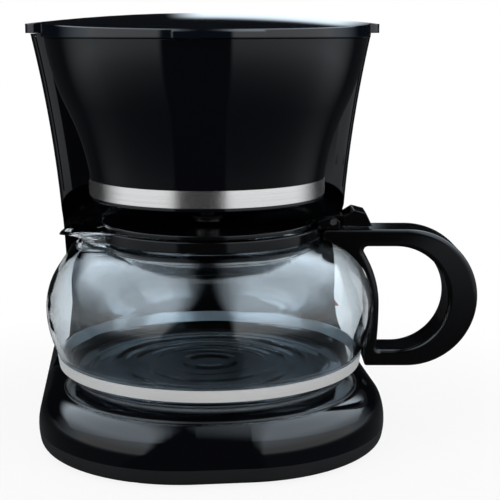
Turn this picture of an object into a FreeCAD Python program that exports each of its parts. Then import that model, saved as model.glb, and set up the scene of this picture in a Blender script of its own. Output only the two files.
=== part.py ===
"""Drip coffee maker with a glass carafe, as a parametric document.

Millimetres. Z is up, the front faces -Y, and the origin is the middle of the footprint on the counter.
Most pieces are drawn about the carafe's axis, which stands at (axis_x, axis_y).
"""
import FreeCAD
import Part
import math
import os
import re
import Sketcher
from FreeCAD import Placement, Rotation, Vector

SIZES = (
    ("axis_x", -22.1, "carafe axis from the middle of the footprint, sideways"),
    ("axis_y", -13.7, "carafe axis from the middle of the footprint, front to back"),
    ("gap", 0.3, "clearance between neighbouring pieces"),
    ("wall", 2.5, "wall of the housings"),
    ("foot_rise", 1.0, "height of the bottom cover above the counter"),
    ("foot_r", 7.0, "rubber foot, radius"),
    ("foot_seat", 0.8, "depth of a foot in its pocket"),
    ("front_foot_x", 52.0, "front feet, sideways from the axis"),
    ("front_foot_y", -52.0, "front feet, front to back from the axis"),
    ("rear_foot_x", 68.0, "rear feet, sideways from the axis"),
    ("rear_foot_y", 86.0, "rear feet, front to back from the axis"),
    ("cover_floor", 2.2, "floor of the bottom cover"),
    ("cover_round", 3.0, "rounding of the bottom cover's lower edge"),
    ("vent_wide", 34.0, "cooling slot, length"),
    ("vent_high", 3.0, "cooling slot, width"),
    ("vent_pitch", 7.0, "cooling slots, spacing"),
    ("seam_z", 8.6, "seam between the bottom cover and the housings"),
    ("base_r", 85.3, "half width of the base at its widest"),
    ("base_front", 87.0, "front of the base from the axis"),
    ("base_corner", 73.0, "front corners of the base, radius in plan"),
    ("skirt_curve", 30.0, "bulge of the skirt, radius"),
    ("bulge_z", 10.0, "height where the base is widest"),
    ("deck_z", 29.0, "top of the deck in front of the tower"),
    ("deck_round", 13.0, "rounding of the deck's edge"),
    ("post_r", 4.0, "screw post, radius"),
    ("front_post_x", 60.0, "front screw posts, sideways from the axis"),
    ("front_post_y", -38.0, "front screw posts, front to back from the axis"),
    ("rear_post_x", 62.0, "rear screw posts, sideways from the axis"),
    ("rear_post_y", 58.0, "rear screw posts, front to back from the axis"),
    ("screw_r", 1.5, "cover screw shank, radius"),
    ("screw_head_r", 3.0, "cover screw head, radius"),
    ("screw_head_t", 2.0, "cover screw head, height"),
    ("screw_long", 14.0, "cover screw shank, length"),
    ("plate_r", 68.0, "warming plate, radius"),
    ("plate_z", 30.0, "warming plate, top"),
    ("plate_t", 1.4, "warming plate, thickness"),
    ("seal_t", 1.0, "plate seal, thickness"),
    ("well_r", 60.0, "opening in the deck below the plate"),
    ("leg_x", 40.0, "heater tube, half spacing of its legs"),
    ("leg_end", 36.0, "heater tube, rear end of its legs"),
    ("tube_r", 4.5, "heater tube, outer radius"),
    ("tube_bore", 3.2, "heater tube, bore radius"),
    ("rod_r", 3.3, "heating rod, radius"),
    ("braze", 0.4, "depth of the joint between rod and tube"),
    ("hose_r", 6.2, "silicone hose, outer radius"),
    ("hose_fit", 0.05, "clearance of a hose on its spigot"),
    ("hose_grip", 8.0, "length of hose on a spigot"),
    ("hose_bend", 14.0, "hose bends, radius"),
    ("clip_r", 0.7, "hose clip wire, radius"),
    ("bracket_long", 104.0, "heater bracket, length"),
    ("bracket_wide", 15.0, "heater bracket, width"),
    ("bracket_t", 1.2, "heater bracket, thickness"),
    ("bracket_screw_x", 20.0, "bracket screws, sideways from the axis"),
    ("bracket_screw_r", 2.0, "bracket screws, radius"),
    ("thermostat_r", 8.0, "thermostat, radius"),
    ("thermostat_t", 7.0, "thermostat, height"),
    ("fuse_r", 2.6, "thermal fuse sleeve, radius"),
    ("fuse_long", 24.0, "thermal fuse sleeve, length"),
    ("waist_r", 72.5, "tower half width at the waist"),
    ("waist_z", 60.0, "height of the waist"),
    ("rise_curve", 640.0, "sides of the tower above the waist, radius"),
    ("tower_top", "=bowl_top + 1.8", "top of the tower"),
    ("tower_front", 27.0, "front face of the tower from the axis"),
    ("tower_back", "=max(bay_r + 24; bowl_y + bowl_top_r + 17.6)", "rear face of the tower from the axis"),
    ("back_corner", 18.0, "rounding of the tower's rear corners"),
    ("front_corner", 9.0, "rounding of the tower's front edges"),
    ("bay_r", "=belly_r + 3", "carafe bay, radius"),
    ("bay_top", 122.0, "carafe bay, ceiling"),
    ("bay_dome", 24.0, "rounding between the bay's wall and ceiling"),
    ("riser_y", "=tower_back - 11.2", "riser tube from the axis"),
    ("riser_r", 5.0, "riser tube, outer radius"),
    ("riser_bore", 3.4, "riser tube, bore radius"),
    ("riser_low", 46.0, "lower end of the riser tube"),
    ("outlet_y", "=tower_back - 16", "tank outlet from the axis"),
    ("outlet_r", 5.0, "tank outlet spigot, radius"),
    ("check_r", 7.5, "check valve body, radius"),
    ("check_high", 12.0, "check valve body, height"),
    ("seal_ring", 1.5, "rubber between a spigot and the tank floor"),
    ("bowl_y", 11.4, "funnel axis from the carafe axis"),
    ("bowl_low", 117.0, "underside of the funnel"),
    ("bowl_floor", 2.6, "floor of the funnel"),
    ("bowl_wall", 2.4, "wall of the funnel"),
    ("drip_r", 14.0, "opening in the funnel floor"),
    ("band_r", 58.9, "steel band, outer radius"),
    ("band_t", 0.8, "steel band, thickness"),
    ("band_low", 118.6, "lower edge of the steel band"),
    ("band_high", 126.7, "upper edge of the steel band"),
    ("bowl_curve", 122.0, "both curves of the funnel's side"),
    ("bowl_top_r", 79.0, "funnel radius at the rim"),
    ("bowl_top", 194.9, "rim of the funnel"),
    ("basket_gap", 0.8, "clearance round the filter basket"),
    ("basket_wall", 1.8, "wall of the filter basket"),
    ("basket_top", "=bowl_top - 11.9", "rim of the filter basket"),
    ("basket_top_r",
     "=bowl_top_r - (bowl_top - basket_top) * (bowl_top_r - band_r) / (bowl_top - band_high)"
     " - bowl_wall - basket_gap",
     "filter basket radius at its rim"),
    ("filter_low", 132.0, "underside of the mesh filter"),
    ("filter_low_r", 36.0, "mesh filter radius at its floor"),
    ("filter_top_r", "=basket_top_r - 5", "mesh filter radius at its rim"),
    ("mesh_t", 0.8, "mesh filter, thickness"),
    ("filter_rim", 1.2, "mesh filter, rim height"),
    ("stem_r", 3.5, "drip valve stem, radius"),
    ("valve_bore", 4.3, "hole for the drip valve's stem"),
    ("valve_head_r", 9.0, "drip valve head, radius"),
    ("valve_head_t", 2.0, "drip valve head, thickness"),
    ("valve_lift", 3.0, "lift of the drip valve by the carafe lid"),
    ("retainer_r", 7.6, "spring retainer on the stem, radius"),
    ("retainer_t", 1.4, "spring retainer on the stem, thickness"),
    ("spring_r", 6.0, "valve spring, middle radius"),
    ("spring_wire", 0.45, "valve spring wire, radius"),
    ("spring_turns", 3.5, "valve spring, turns"),
    ("arm_t", 6.5, "height of the spray arm"),
    ("arm_room", 1.7, "clearance between the spray arm and the lid"),
    ("arm_high", "=lid_front_z - arm_room", "top of the spray arm"),
    ("arm_low", "=arm_high - arm_t", "underside of the spray arm"),
    ("arm_wide", 13.0, "width of the spray arm"),
    ("arm_skin", 1.6, "wall of the spray arm"),
    ("head_r", 22.0, "shower head, radius"),
    ("head_drop", 1.4, "depth of the shower head below the arm"),
    ("jet_r", 1.2, "shower head holes, radius"),
    ("jet_ring", 14.0, "shower head holes, radius of their ring"),
    ("lid_front_r", "=bowl_top_r + 1.4", "lid lip over the funnel, radius"),
    ("lid_front_z", "=bowl_top + gap", "underside of the lid over the funnel"),
    ("lid_side", 88.6, "lid half width over the tank"),
    ("lid_rear_z", "=tower_top + gap", "underside of the lid over the tank"),
    ("lid_step", 16.0, "front of the lid's wide part from the axis"),
    ("lid_back", "=tower_back + 0.6", "rear edge of the lid from the axis"),
    ("lid_corner", 19.0, "rounding of the lid's rear corners"),
    ("wing_corner", 6.0, "rounding of the front corners of the lid's wide part"),
    ("lid_lip", 3.2, "width of the lid's lip"),
    ("lid_wall", 2.5, "thickness of the lid's crown"),
    ("crown_r", 746.0, "crown of the lid, radius"),
    ("crown_y", 40.0, "highest point of the lid from the axis"),
    ("crown_z", "=lid_front_z + 11.8", "highest point of the lid"),
    ("tab_wide", 40.0, "finger tab, width"),
    ("tab_out", 2.0, "finger tab, depth"),
    ("tab_t", 3.2, "finger tab, thickness"),
    ("hinge_y", "=tower_back + 3", "lid hinge from the axis"),
    ("hinge_z", "=tower_top + 3.9", "height of the lid hinge"),
    ("hinge_r", 3.4, "lid hinge knuckles, radius"),
    ("hinge_in", 20.0, "inner end of a lid knuckle"),
    ("hinge_mid", 33.0, "seam between lid knuckle and tower ear"),
    ("hinge_out", 41.0, "outer end of a tower ear"),
    ("hinge_pin_r", 1.5, "lid hinge pins, radius"),
    ("pin_fit", 0.05, "radial clearance of a hinge pin"),
    ("ear_drop", 16.0, "height of the ears on the tower's rear wall"),
    ("switch_y", 66.0, "switch from the axis"),
    ("switch_z", 51.5, "height of the switch"),
    ("switch_x", "=waist_r + 2.1", "face of the switch bezel from the axis"),
    ("bezel_high", 19.0, "switch bezel, height"),
    ("bezel_wide", 13.5, "switch bezel, width"),
    ("bezel_t", 2.4, "switch bezel, thickness"),
    ("switch_deep", 8.5, "switch body behind the bezel"),
    ("switch_skin", 1.0, "wall of the switch body"),
    ("rocker_high", 14.0, "rocker, height"),
    ("rocker_wide", 9.4, "rocker, width"),
    ("rocker_out", 1.5, "ends of the rocker in front of the bezel"),
    ("rocker_dish", 1.3, "dish in the rocker's face"),
    ("rocker_root", 5.0, "rocker behind the bezel's face"),
    ("rocker_tilt", -9.0, "tilt of the rocker at rest, degrees"),
    ("rocker_room", 0.7, "clearance above and below the rocker"),
    ("gland_x", -45.0, "cord inlet from the axis"),
    ("gland_z", 20.0, "height of the cord inlet"),
    ("gland_r", 5.0, "cord inlet bushing in the wall, radius"),
    ("gland_flange", 7.6, "cord inlet bushing, flange radius"),
    ("gland_bore", 3.2, "cord inlet, bore radius"),
    ("gland_t", 2.0, "cord inlet bushing, flange thickness"),
    ("carafe_turn", -6.0, "turn of the carafe about its axis, degrees"),
    ("glass_low", 30.2, "underside of the glass"),
    ("glass_wall", 2.0, "thickness of the glass"),
    ("glass_foot_r", "=belly_r - 14.5", "flat foot of the glass, radius"),
    ("glass_foot_curve", 8.0, "rounding of the glass foot"),
    ("glass_heel_r", "=belly_r - 6.7", "glass radius above the foot"),
    ("glass_heel_z", 36.4, "height of the glass above the foot"),
    ("glass_seat_r", "=belly_r - 5.7", "glass radius above the steel ring"),
    ("glass_seat_z", 41.5, "height of the glass above the steel ring"),
    ("belly_curve", 48.0, "lower curve of the glass belly"),
    ("belly_r", 81.0, "widest radius of the glass"),
    ("belly_z", 64.0, "height of the widest glass"),
    ("dome_curve", 35.0, "upper curve of the glass belly"),
    ("neck_r", "=belly_r - 29.9", "glass neck, radius"),
    ("neck_curve", 3.0, "curve into the glass neck"),
    ("rim_z", 104.5, "rim of the glass"),
    ("spout_root", "=neck_r - 5.1", "inner end of the spout"),
    ("spout_tip", "=neck_r + 21.9", "tip of the spout"),
    ("spout_wide", 38.0, "spout width at the neck"),
    ("spout_deep", 9.0, "spout depth at the neck"),
    ("spout_tip_wide", 12.0, "spout width at its tip"),
    ("spout_tip_deep", 4.6, "spout depth at its tip"),
    ("spout_drop", 3.0, "drop of the spout's edge at its tip"),
    ("ring_low", 35.7, "lower edge of the steel ring"),
    ("ring_high", 41.25, "upper edge of the steel ring"),
    ("ring_low_r", "=glass_seat_r", "steel ring, radius at its lower edge"),
    ("ring_high_r", "=glass_seat_r + 0.9", "steel ring, radius at its upper edge"),
    ("ring_t", 0.6, "steel ring, thickness"),
    ("collar_in", "=neck_r + 1.1", "collar, inner radius"),
    ("collar_r", "=collar_in + 3.3", "collar, outer radius"),
    ("collar_low", 99.2, "lower edge of the collar"),
    ("collar_high", 104.2, "upper edge of the collar"),
    ("collar_open", 46.0, "opening of the collar at the spout, degrees"),
    ("lug_in", 7.0, "collar lugs, inner face from the middle"),
    ("lug_out", 11.0, "collar lugs, outer face from the middle"),
    ("lug_root", "=neck_r + 2.1", "collar lugs, inner end"),
    ("lug_end", "=neck_r + 12.9", "collar lugs, outer end"),
    ("lug_top", 109.2, "collar lugs, top"),
    ("flap_x", "=neck_r + 9.9", "carafe lid hinge from the axis"),
    ("flap_z", 106.7, "height of the carafe lid hinge"),
    ("flap_pin_r", 1.5, "carafe lid pin, radius"),
    ("cap_r", "=neck_r + 1.1", "carafe lid, radius"),
    ("cap_low", 104.8, "underside of the carafe lid's rim"),
    ("cap_t", 1.8, "thickness of the carafe lid"),
    ("cap_skirt_r", "=neck_r - 2.8", "carafe lid skirt, outer radius"),
    ("cap_skirt_low", 99.0, "lower edge of the carafe lid's skirt"),
    ("cap_slope_r", 30.0, "foot of the carafe lid's raised middle"),
    ("boss_r", 22.0, "raised middle of the carafe lid, radius"),
    ("boss_z", 108.5, "top of the carafe lid's raised middle"),
    ("inlet_r", 6.0, "coffee inlet in the carafe lid"),
    ("thumb_half", 9.5, "thumb tab, half width"),
    ("thumb_in", "=neck_r + 14.9", "inner end of the thumb tab"),
    ("thumb_end", "=neck_r + 28.9", "outer end of the thumb tab"),
    ("thumb_low", 104.3, "underside of the thumb tab"),
    ("thumb_top", 112.2, "top of the thumb tab"),
    ("handle_wide", 24.0, "carafe handle, width"),
    ("handle_root", "=neck_r + 5.1", "inner end of the handle's upper arm"),
    ("handle_high", 102.8, "top of the handle"),
    ("handle_low", 34.0, "underside of the handle"),
    ("handle_out", "=belly_r + 51.5", "outer side of the handle"),
    ("handle_hug", 0.4, "clearance of the handle's strap on the glass"),
    ("hook_r", "=glass_seat_r + 1.6", "lower end of the handle's strap"),
    ("hook_z", 42.8, "height where the strap leaves the steel ring"),
    ("grip_high", 94.4, "top of the finger gap"),
    ("grip_low", 42.0, "bottom of the finger gap"),
    ("grip_out", "=belly_r + 37", "outer side of the finger gap"),
    ("grip_in", "=belly_r - 7", "inner top corner of the finger gap"),
    ("strap_x", "=belly_r + 2.9", "outer face of the strap at the belly"),
    ("strap_low_x", "=belly_r + 1.8", "outer face of the strap at the lower arm"),
    ("strap_curve", 49.6, "upper curve of the strap"),
    ("strap_low_curve", 200.0, "lower curve of the strap"),
    ("handle_round", 2.2, "rounding of the handle's edges"),
    ("ring_screw_x", "=belly_r + 1.5", "ring screw from the axis"),
    ("ring_screw_r", 1.5, "ring screw, radius"),
    ("ring_screw_long", 6.0, "ring screw, length in the handle"),
    ("ring_screw_head", 2.8, "ring screw head, radius"),
)
ALIASES = {alias for alias, _, _ in SIZES}
WORD = re.compile(r"[a-z][a-z_]*")

doc = FreeCAD.newDocument("drip_coffee_maker")
dims = doc.addObject("Spreadsheet::Sheet", "dims")
for row, (alias, _, note) in enumerate(SIZES, 1):
    dims.set(f"A{row}", note)
    dims.setAlias(f"B{row}", alias)
for row, (_, size, _) in enumerate(SIZES, 1):
    dims.set(f"B{row}", str(size))
doc.recompute()


def bound(text):
    """A formula in size names, with each name pointing to its cell."""
    return WORD.sub(lambda word: f"dims.{word[0]}" if word[0] in ALIASES else word[0], text)


def value(text):
    return float(dims.evalExpression(bound(text)))


def drive(target, name, text):
    target.setExpression(name, bound(text))


def stand(target, x="0", y="0", z="0"):
    """Place an object from the carafe's axis."""
    drive(target, "Placement.Base.x", f"axis_x + {x}")
    drive(target, "Placement.Base.y", f"axis_y + {y}")
    drive(target, "Placement.Base.z", z)
    return target


def new_body(label, x="0", y="0", z="0", axis=Vector(0, 0, 1), turn=None):
    body = doc.addObject("PartDesign::Body", label)
    body.Label = label
    if turn:
        body.Placement = Placement(Vector(), Rotation(axis, value(turn)))
        drive(body, "Placement.Rotation.Angle", turn)
    return stand(body, x, y, z)


class Outline:
    """A sketch in one of a body's own planes, with every point tied to the sheet."""

    def __init__(self, body, plane, level="0"):
        self.sketch = body.newObject("Sketcher::SketchObject", f"{body.Name}_sketch")
        support = next(part for part in body.Origin.OriginFeatures if part.Role == plane)
        self.sketch.AttachmentSupport = [(support, "")]
        self.sketch.MapMode = "FlatFace"
        drive(self.sketch, "AttachmentOffset.Base.z", level)

    def tie(self, kind, place, text):
        index = self.sketch.addConstraint(Sketcher.Constraint(kind, *place, value(text)))
        drive(self.sketch, f"Constraints[{index}]", text)

    def edge(self, start, end, radius):
        """A line, or an arc that turns left, or right where its radius has a minus sign."""
        first = Vector(value(start[0]), value(start[1]), 0)
        last = Vector(value(end[0]), value(end[1]), 0)
        if radius is None:
            return self.sketch.addGeometry(Part.LineSegment(first, last)), 1, 2
        turns_right = radius.startswith("-")
        size = value(radius.lstrip("-"))
        chord = last - first
        across = Vector(-chord.y, chord.x, 0).normalize()
        rise = math.sqrt(size**2 - (chord.Length / 2) ** 2)
        centre = first + chord / 2 + across * (-rise if turns_right else rise)
        if turns_right:
            first, last = last, first
        angles = [math.atan2(p.y - centre.y, p.x - centre.x) for p in (first, last)]
        arc = Part.ArcOfCircle(Part.Circle(centre, Vector(0, 0, 1), size), *angles)
        index = self.sketch.addGeometry(arc)
        self.tie("Radius", (index,), radius.lstrip("-"))
        return (index, 2, 1) if turns_right else (index, 1, 2)

    def trace(self, points, closed):
        """Edges through points (across, up); a third entry is the radius of the arc that leaves the point."""
        count = len(points) if closed else len(points) - 1
        edges = []
        for number in range(count):
            start, end = points[number], points[(number + 1) % len(points)]
            edges.append(self.edge(start, end, start[2] if len(start) > 2 else None))
        for number, (index, first, last) in enumerate(edges):
            if closed or number + 1 < count:
                following, head, _ = edges[(number + 1) % count]
                self.sketch.addConstraint(Sketcher.Constraint("Coincident", index, last, following, head))
            self.tie("DistanceX", (index, first), points[number][0])
            self.tie("DistanceY", (index, first), points[number][1])
        if not closed:
            index, _, last = edges[-1]
            self.tie("DistanceX", (index, last), points[-1][0])
            self.tie("DistanceY", (index, last), points[-1][1])
        return self

    def loop(self, *points):
        return self.trace(points, True)

    def path(self, *points):
        return self.trace(points, False)

    def box(self, left, low, right, high):
        return self.loop((left, low), (right, low), (right, high), (left, high))

    def circle(self, across, up, radius):
        centre = Vector(value(across), value(up), 0)
        index = self.sketch.addGeometry(Part.Circle(centre, Vector(0, 0, 1), value(radius)))
        self.tie("DistanceX", (index, 3), across)
        self.tie("DistanceY", (index, 3), up)
        self.tie("Radius", (index,), radius)
        return self


def feature(body, kind, outline, **options):
    made = body.newObject(f"PartDesign::{kind}", f"{body.Name}_{kind.lower()}")
    made.Profile = outline.sketch
    for name, setting in options.items():
        setattr(made, name, setting)
    return made


def pad(body, outline, length, **options):
    drive(feature(body, "Pad", outline, **options), "Length", length)


def pocket(body, outline, length, **options):
    drive(feature(body, "Pocket", outline, **options), "Length", length)


def revolve(body, outline, angle="360", **options):
    made = feature(body, "Revolution", outline, ReferenceAxis=(outline.sketch, ["V_Axis"]), **options)
    drive(made, "Angle", angle)


def groove(body, outline, angle="360", **options):
    made = feature(body, "Groove", outline, ReferenceAxis=(outline.sketch, ["V_Axis"]), **options)
    drive(made, "Angle", angle)


def turned(label, *points, x="0", y="0", z="0", turn=None):
    """A body turned about its own Z axis from one closed half section."""
    body = new_body(label, x, y, z, turn=turn)
    revolve(body, Outline(body, "XZ_Plane").loop(*points))
    return body


def fillet(body, radius, chosen):
    doc.recompute()
    base = body.Tip
    names = [f"Edge{number}" for number, edge in enumerate(base.Shape.Edges, 1) if chosen(edge)]
    made = body.newObject("PartDesign::Fillet", f"{body.Name}_fillet")
    made.Base = (base, names)
    drive(made, "Radius", radius)


def near(first, second):
    return abs(first - second) < 1e-4


def corners(edge):
    return [vertex.Point for vertex in edge.Vertexes]


def cylinder(label, radius, height, x, y, z):
    made = doc.addObject("Part::Cylinder", label)
    made.Label = label
    drive(made, "Radius", radius)
    drive(made, "Height", height)
    return stand(made, x, y, z)


def block(label, long, wide, high, x, y, z):
    made = doc.addObject("Part::Box", label)
    made.Label = label
    drive(made, "Length", long)
    drive(made, "Width", wide)
    drive(made, "Height", high)
    return stand(made, x, y, z)


def cut(label, base, tool):
    made = doc.addObject("Part::Cut", label)
    made.Label = label
    made.Base = base
    made.Tool = tool
    return made


def fuse(label, *shapes):
    made = doc.addObject("Part::MultiFuse", label)
    made.Label = label
    made.Shapes = list(shapes)
    return made


def group(label, *shapes):
    made = doc.addObject("Part::Compound", label)
    made.Label = label
    made.Links = list(shapes)
    return made


# Levels and widths that follow from the sizes
bulge_x = "(base_r - skirt_curve)"
waist_in = f"(waist_r - {bulge_x})"
waist_up = "(waist_z - bulge_z)"
flare_curve = f"(({waist_in}^2 + {waist_up}^2 - skirt_curve^2) / (2 * (skirt_curve - {waist_in})))"
flare_share = f"(skirt_curve / (skirt_curve + {flare_curve}))"
shoulder_x = f"({bulge_x} + {flare_share} * ({waist_in} + {flare_curve}))"
shoulder_z = f"(bulge_z + {flare_share} * {waist_up})"
plate_low = "(plate_z - plate_t)"
seat_z = "(plate_z - plate_t - seal_t)"
rod_z = f"({plate_low} - rod_r)"
tube_z = f"({plate_low} - 2 * rod_r - tube_r + braze)"
tank_floor = "(waist_z + wall)"
funnel_floor = "(bowl_low + bowl_floor)"
basket_floor = f"({funnel_floor} + basket_wall)"
band_in = "(band_r - band_t - bowl_wall)"
bowl_mid_r = "((band_r + bowl_top_r) / 2)"
bowl_mid_z = "((band_high + bowl_top) / 2)"
valve_tip = "(boss_z + gap)"
retainer_top = f"({valve_tip} + 2 * retainer_t)"
bracket_z = f"({tube_z} - tube_r - bracket_t)"
bezel_back = "(switch_x - bezel_t)"
check_low = "(waist_z - check_high)"
rocker_half_y = "(rocker_wide / 2 + gap)"
rocker_half_z = "(rocker_high / 2 + rocker_room)"
switch_half_y = f"({rocker_half_y} + switch_skin)"
switch_half_z = f"({rocker_half_z} + switch_skin)"


# Base: skirt, deck and bottom cover
def seam_x(margin):
    """Half width at the seam, on a surface a margin inside the bulge."""
    return f"({bulge_x} + sqrt((skirt_curve - {margin})^2 - (seam_z - bulge_z)^2))"


def rolled(radius, middle_z):
    """Across the base, the middle of an edge rounding that touches the bulge."""
    return f"({bulge_x} + sqrt((skirt_curve - {radius})^2 - ({middle_z} - bulge_z)^2))"


def touch(radius, middle_z, margin="0"):
    """Where such a rounding meets the bulge, on a surface a margin inside both."""
    share = f"((skirt_curve - {margin}) / (skirt_curve - {radius}))"
    return (f"{bulge_x} + ({rolled(radius, middle_z)} - {bulge_x}) * {share}",
            f"bulge_z + ({middle_z} - bulge_z) * {share}")


def front_plan(margin):
    """The base from above, less a margin, from the tower round the front and back to the tower."""
    side, reach, corner = (f"({size} - {margin})" for size in ("base_r", "base_front", "base_corner"))
    turn_x, turn_y = "(base_r - base_corner)", "(base_corner - base_front)"
    return ((side, "tower_front"), (side, turn_y, f"-{corner}"), (turn_x, f"-{reach}"),
            (f"-{turn_x}", f"-{reach}", f"-{corner}"), (f"-{side}", turn_y), (f"-{side}", "tower_front"))


def whole_plan(margin):
    """The base and the tower's foot from above, less a margin."""
    side, back, corner = (f"({size} - {margin})" for size in ("base_r", "tower_back", "back_corner"))
    edge = f"{side} - {corner}"
    return (*front_plan(margin)[:5], (f"-{side}", f"{back} - {corner}", f"-{corner}"), (f"-({edge})", back),
            (edge, back, f"-{corner}"), (side, f"{back} - {corner}"))


def swept(body, section, spine):
    pipe = feature(body, "AdditivePipe", section)
    pipe.Spine = (spine.sketch, [])


def well_section():
    """Opening and stepped seat for the warming plate."""
    seat_r = "plate_r + gap"
    below = "deck_z - wall - 1"
    above = "deck_z + 1"
    return (("0", below), ("well_r", below), ("well_r", seat_z), (seat_r, seat_z), (seat_r, above),
            ("0", above))


def add_posts(body, x, y):
    """A pair of bored screw posts from the seam up to the deck."""
    outline = Outline(body, "XY_Plane", "seam_z")
    for side in (f"-{x}", x):
        outline.circle(side, y, "post_r")
        outline.circle(side, y, "screw_r + pin_fit")
    pad(body, outline, "deck_z - wall - seam_z + gap")


def base_housing():
    """Bulged skirt carried round the front, a deck across it and a well for the warming plate."""
    body = new_body("base_housing")
    middle_z = "(deck_z - deck_round)"
    edge = rolled("deck_round", middle_z)
    inner = "(skirt_curve - wall)"
    skirt = Outline(body, "XZ_Plane", "-tower_front")
    skirt.loop((seam_x("0"), "seam_z", "skirt_curve"), (*touch("deck_round", middle_z), "deck_round"),
               (edge, "deck_z"), (edge, "deck_z - wall", "-(deck_round - wall)"),
               (*touch("deck_round", middle_z, "wall"), f"-{inner}"), (seam_x("wall"), "seam_z"))
    swept(body, skirt, Outline(body, "XY_Plane", "seam_z").path(*front_plan("0")))
    pad(body, Outline(body, "XY_Plane", "deck_z - wall").loop(*front_plan(f"(base_r - {edge})")), "wall")
    groove(body, Outline(body, "XZ_Plane").loop(*well_section()))
    add_posts(body, "front_post_x", "front_post_y")
    return body


POSTS = [(f"{sign}{end}_post_x", f"{end}_post_y") for end in ("front", "rear") for sign in ("", "-")]
FEET = [(f"{sign}{end}_foot_x", f"{end}_foot_y") for end in ("front", "rear") for sign in ("", "-")]


def bottom_cover():
    body = new_body("bottom_cover")
    high = "(seam_z - foot_rise)"
    middle_z = "(foot_rise + cover_round)"
    edge = rolled("cover_round", middle_z)
    rim = Outline(body, "XZ_Plane", "-tower_front")
    rim.loop((edge, "seam_z"), (seam_x("0"), "seam_z", "-skirt_curve"),
             (*touch("cover_round", middle_z), "-cover_round"), (edge, "foot_rise"))
    swept(body, rim, Outline(body, "XY_Plane", "seam_z").loop(*whole_plan("0")))
    pad(body, Outline(body, "XY_Plane", "foot_rise").loop(*whole_plan(f"(base_r - {edge})")), "cover_floor")
    bosses = Outline(body, "XY_Plane", "foot_rise")
    holes = Outline(body, "XY_Plane", "foot_rise")
    recesses = Outline(body, "XY_Plane", "foot_rise")
    for x, y in POSTS:
        bosses.circle(x, y, "post_r + wall")
        holes.circle(x, y, "screw_r + gap")
        recesses.circle(x, y, "screw_head_r + gap")
    pad(body, bosses, high)
    pocket(body, holes, "2 * seam_z", Midplane=True)
    pocket(body, recesses, "screw_head_t + gap", Reversed=True)
    pockets = Outline(body, "XY_Plane", "foot_rise")
    for x, y in FEET:
        pockets.circle(x, y, "foot_r + gap")
    pocket(body, pockets, "foot_seat", Reversed=True)
    slot = Outline(body, "XY_Plane", "foot_rise")
    slot.box("-vent_wide / 2", "-vent_high / 2", "vent_wide / 2", "vent_high / 2")
    pocket(body, slot, "2 * seam_z", Midplane=True)
    doc.recompute()
    row = body.newObject("PartDesign::LinearPattern", "vent_row")
    row.Originals = [body.Tip]
    row.Direction = (slot.sketch, ["V_Axis"])
    row.Occurrences = 6
    drive(row, "Length", "vent_pitch * 5")
    body.Tip = row
    return body


def rubber_feet():
    feet = []
    for number, (x, y) in enumerate(FEET, 1):
        feet.append(cylinder(f"foot_{number}", "foot_r", "foot_rise + foot_seat", x, y, "0"))
    return group("rubber_feet", *feet)


def screw(label, x, y, low, head_r, head_t, shank_r, long):
    """A screw standing head down."""
    return turned(label, ("0", "0"), (head_r, "0"), (head_r, head_t), (shank_r, head_t),
                  (shank_r, f"{head_t} + {long}"), ("0", f"{head_t} + {long}"), x=x, y=y, z=low)


def cover_screws():
    screws = []
    for number, (x, y) in enumerate(POSTS, 1):
        screws.append(screw(f"cover_screw_{number}", x, y, "foot_rise + gap", "screw_head_r", "screw_head_t",
                            "screw_r", "screw_long"))
    return group("cover_screws", *screws)


# Warming plate and heater
def warming_plate():
    lip = "plate_t / 2"
    return turned("warming_plate", ("0", plate_low), ("plate_r", plate_low), ("plate_r", f"plate_z - {lip}"),
                  (f"plate_r - {lip}", "plate_z"), ("0", "plate_z"))


def plate_seal():
    inner, outer = "well_r + gap", "plate_r - gap"
    return turned("plate_seal", (inner, seat_z), (outer, seat_z), (outer, plate_low), (inner, plate_low))


def heater_tube():
    """Water tube bent to a horseshoe, with the heating rod brazed along its top."""
    body = new_body("heater_tube")

    def bend(level, end, *radii):
        spine = Outline(body, "XY_Plane", level)
        spine.path(("leg_x", end), ("leg_x", "0", "-leg_x"), ("0", "-leg_x", "-leg_x"), ("-leg_x", "0"),
                   ("-leg_x", end))
        section = Outline(body, "XZ_Plane", f"-({end})")
        for radius in radii:
            section.circle("leg_x", level, radius)
        swept(body, section, spine)
        doc.recompute()

    bend(tube_z, "leg_end", "tube_r", "tube_bore")
    bend(rod_z, "leg_end - hose_grip - 2", "rod_r")
    return body


def heater_bracket():
    body = new_body("heater_bracket")
    plan = Outline(body, "XY_Plane", bracket_z)
    plan.box("-bracket_long / 2", "-bracket_wide / 2", "bracket_long / 2", "bracket_wide / 2")
    for x in ("-bracket_screw_x", "bracket_screw_x"):
        plan.circle(x, "0", "bracket_screw_r + pin_fit")
    pad(body, plan, "bracket_t")
    return body


def bracket_screws():
    head = "2 * bracket_t"
    screws = []
    for number, x in enumerate(("-bracket_screw_x", "bracket_screw_x"), 1):
        screws.append(screw(f"bracket_screw_{number}", x, "0", f"{bracket_z} - {head}",
                            "1.8 * bracket_screw_r", head, "bracket_screw_r", f"({plate_low} - {bracket_z})"))
    return group("bracket_screws", *screws)


def thermostat():
    body = new_body("thermostat")
    can = Outline(body, "XY_Plane", f"{plate_low} - thermostat_t").circle("0", "0", "thermostat_r")
    pad(body, can, "thermostat_t")
    tabs = Outline(body, "XY_Plane", f"{plate_low} - thermostat_t")
    for x in ("-thermostat_r / 2", "thermostat_r / 2"):
        tabs.box(f"{x} - 0.4", "-fuse_r - 3.2", f"{x} + 0.4", "-fuse_r")
    pad(body, tabs, "thermostat_t / 2", Reversed=True)
    return body


def thermal_fuse():
    made = cylinder("thermal_fuse", "fuse_r", "fuse_long", "-fuse_long / 2", "fuse_r + gap",
                    f"{bracket_z} + bracket_t + fuse_r")
    made.Placement = Placement(Vector(), Rotation(Vector(0, 1, 0), 90))
    return made


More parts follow.
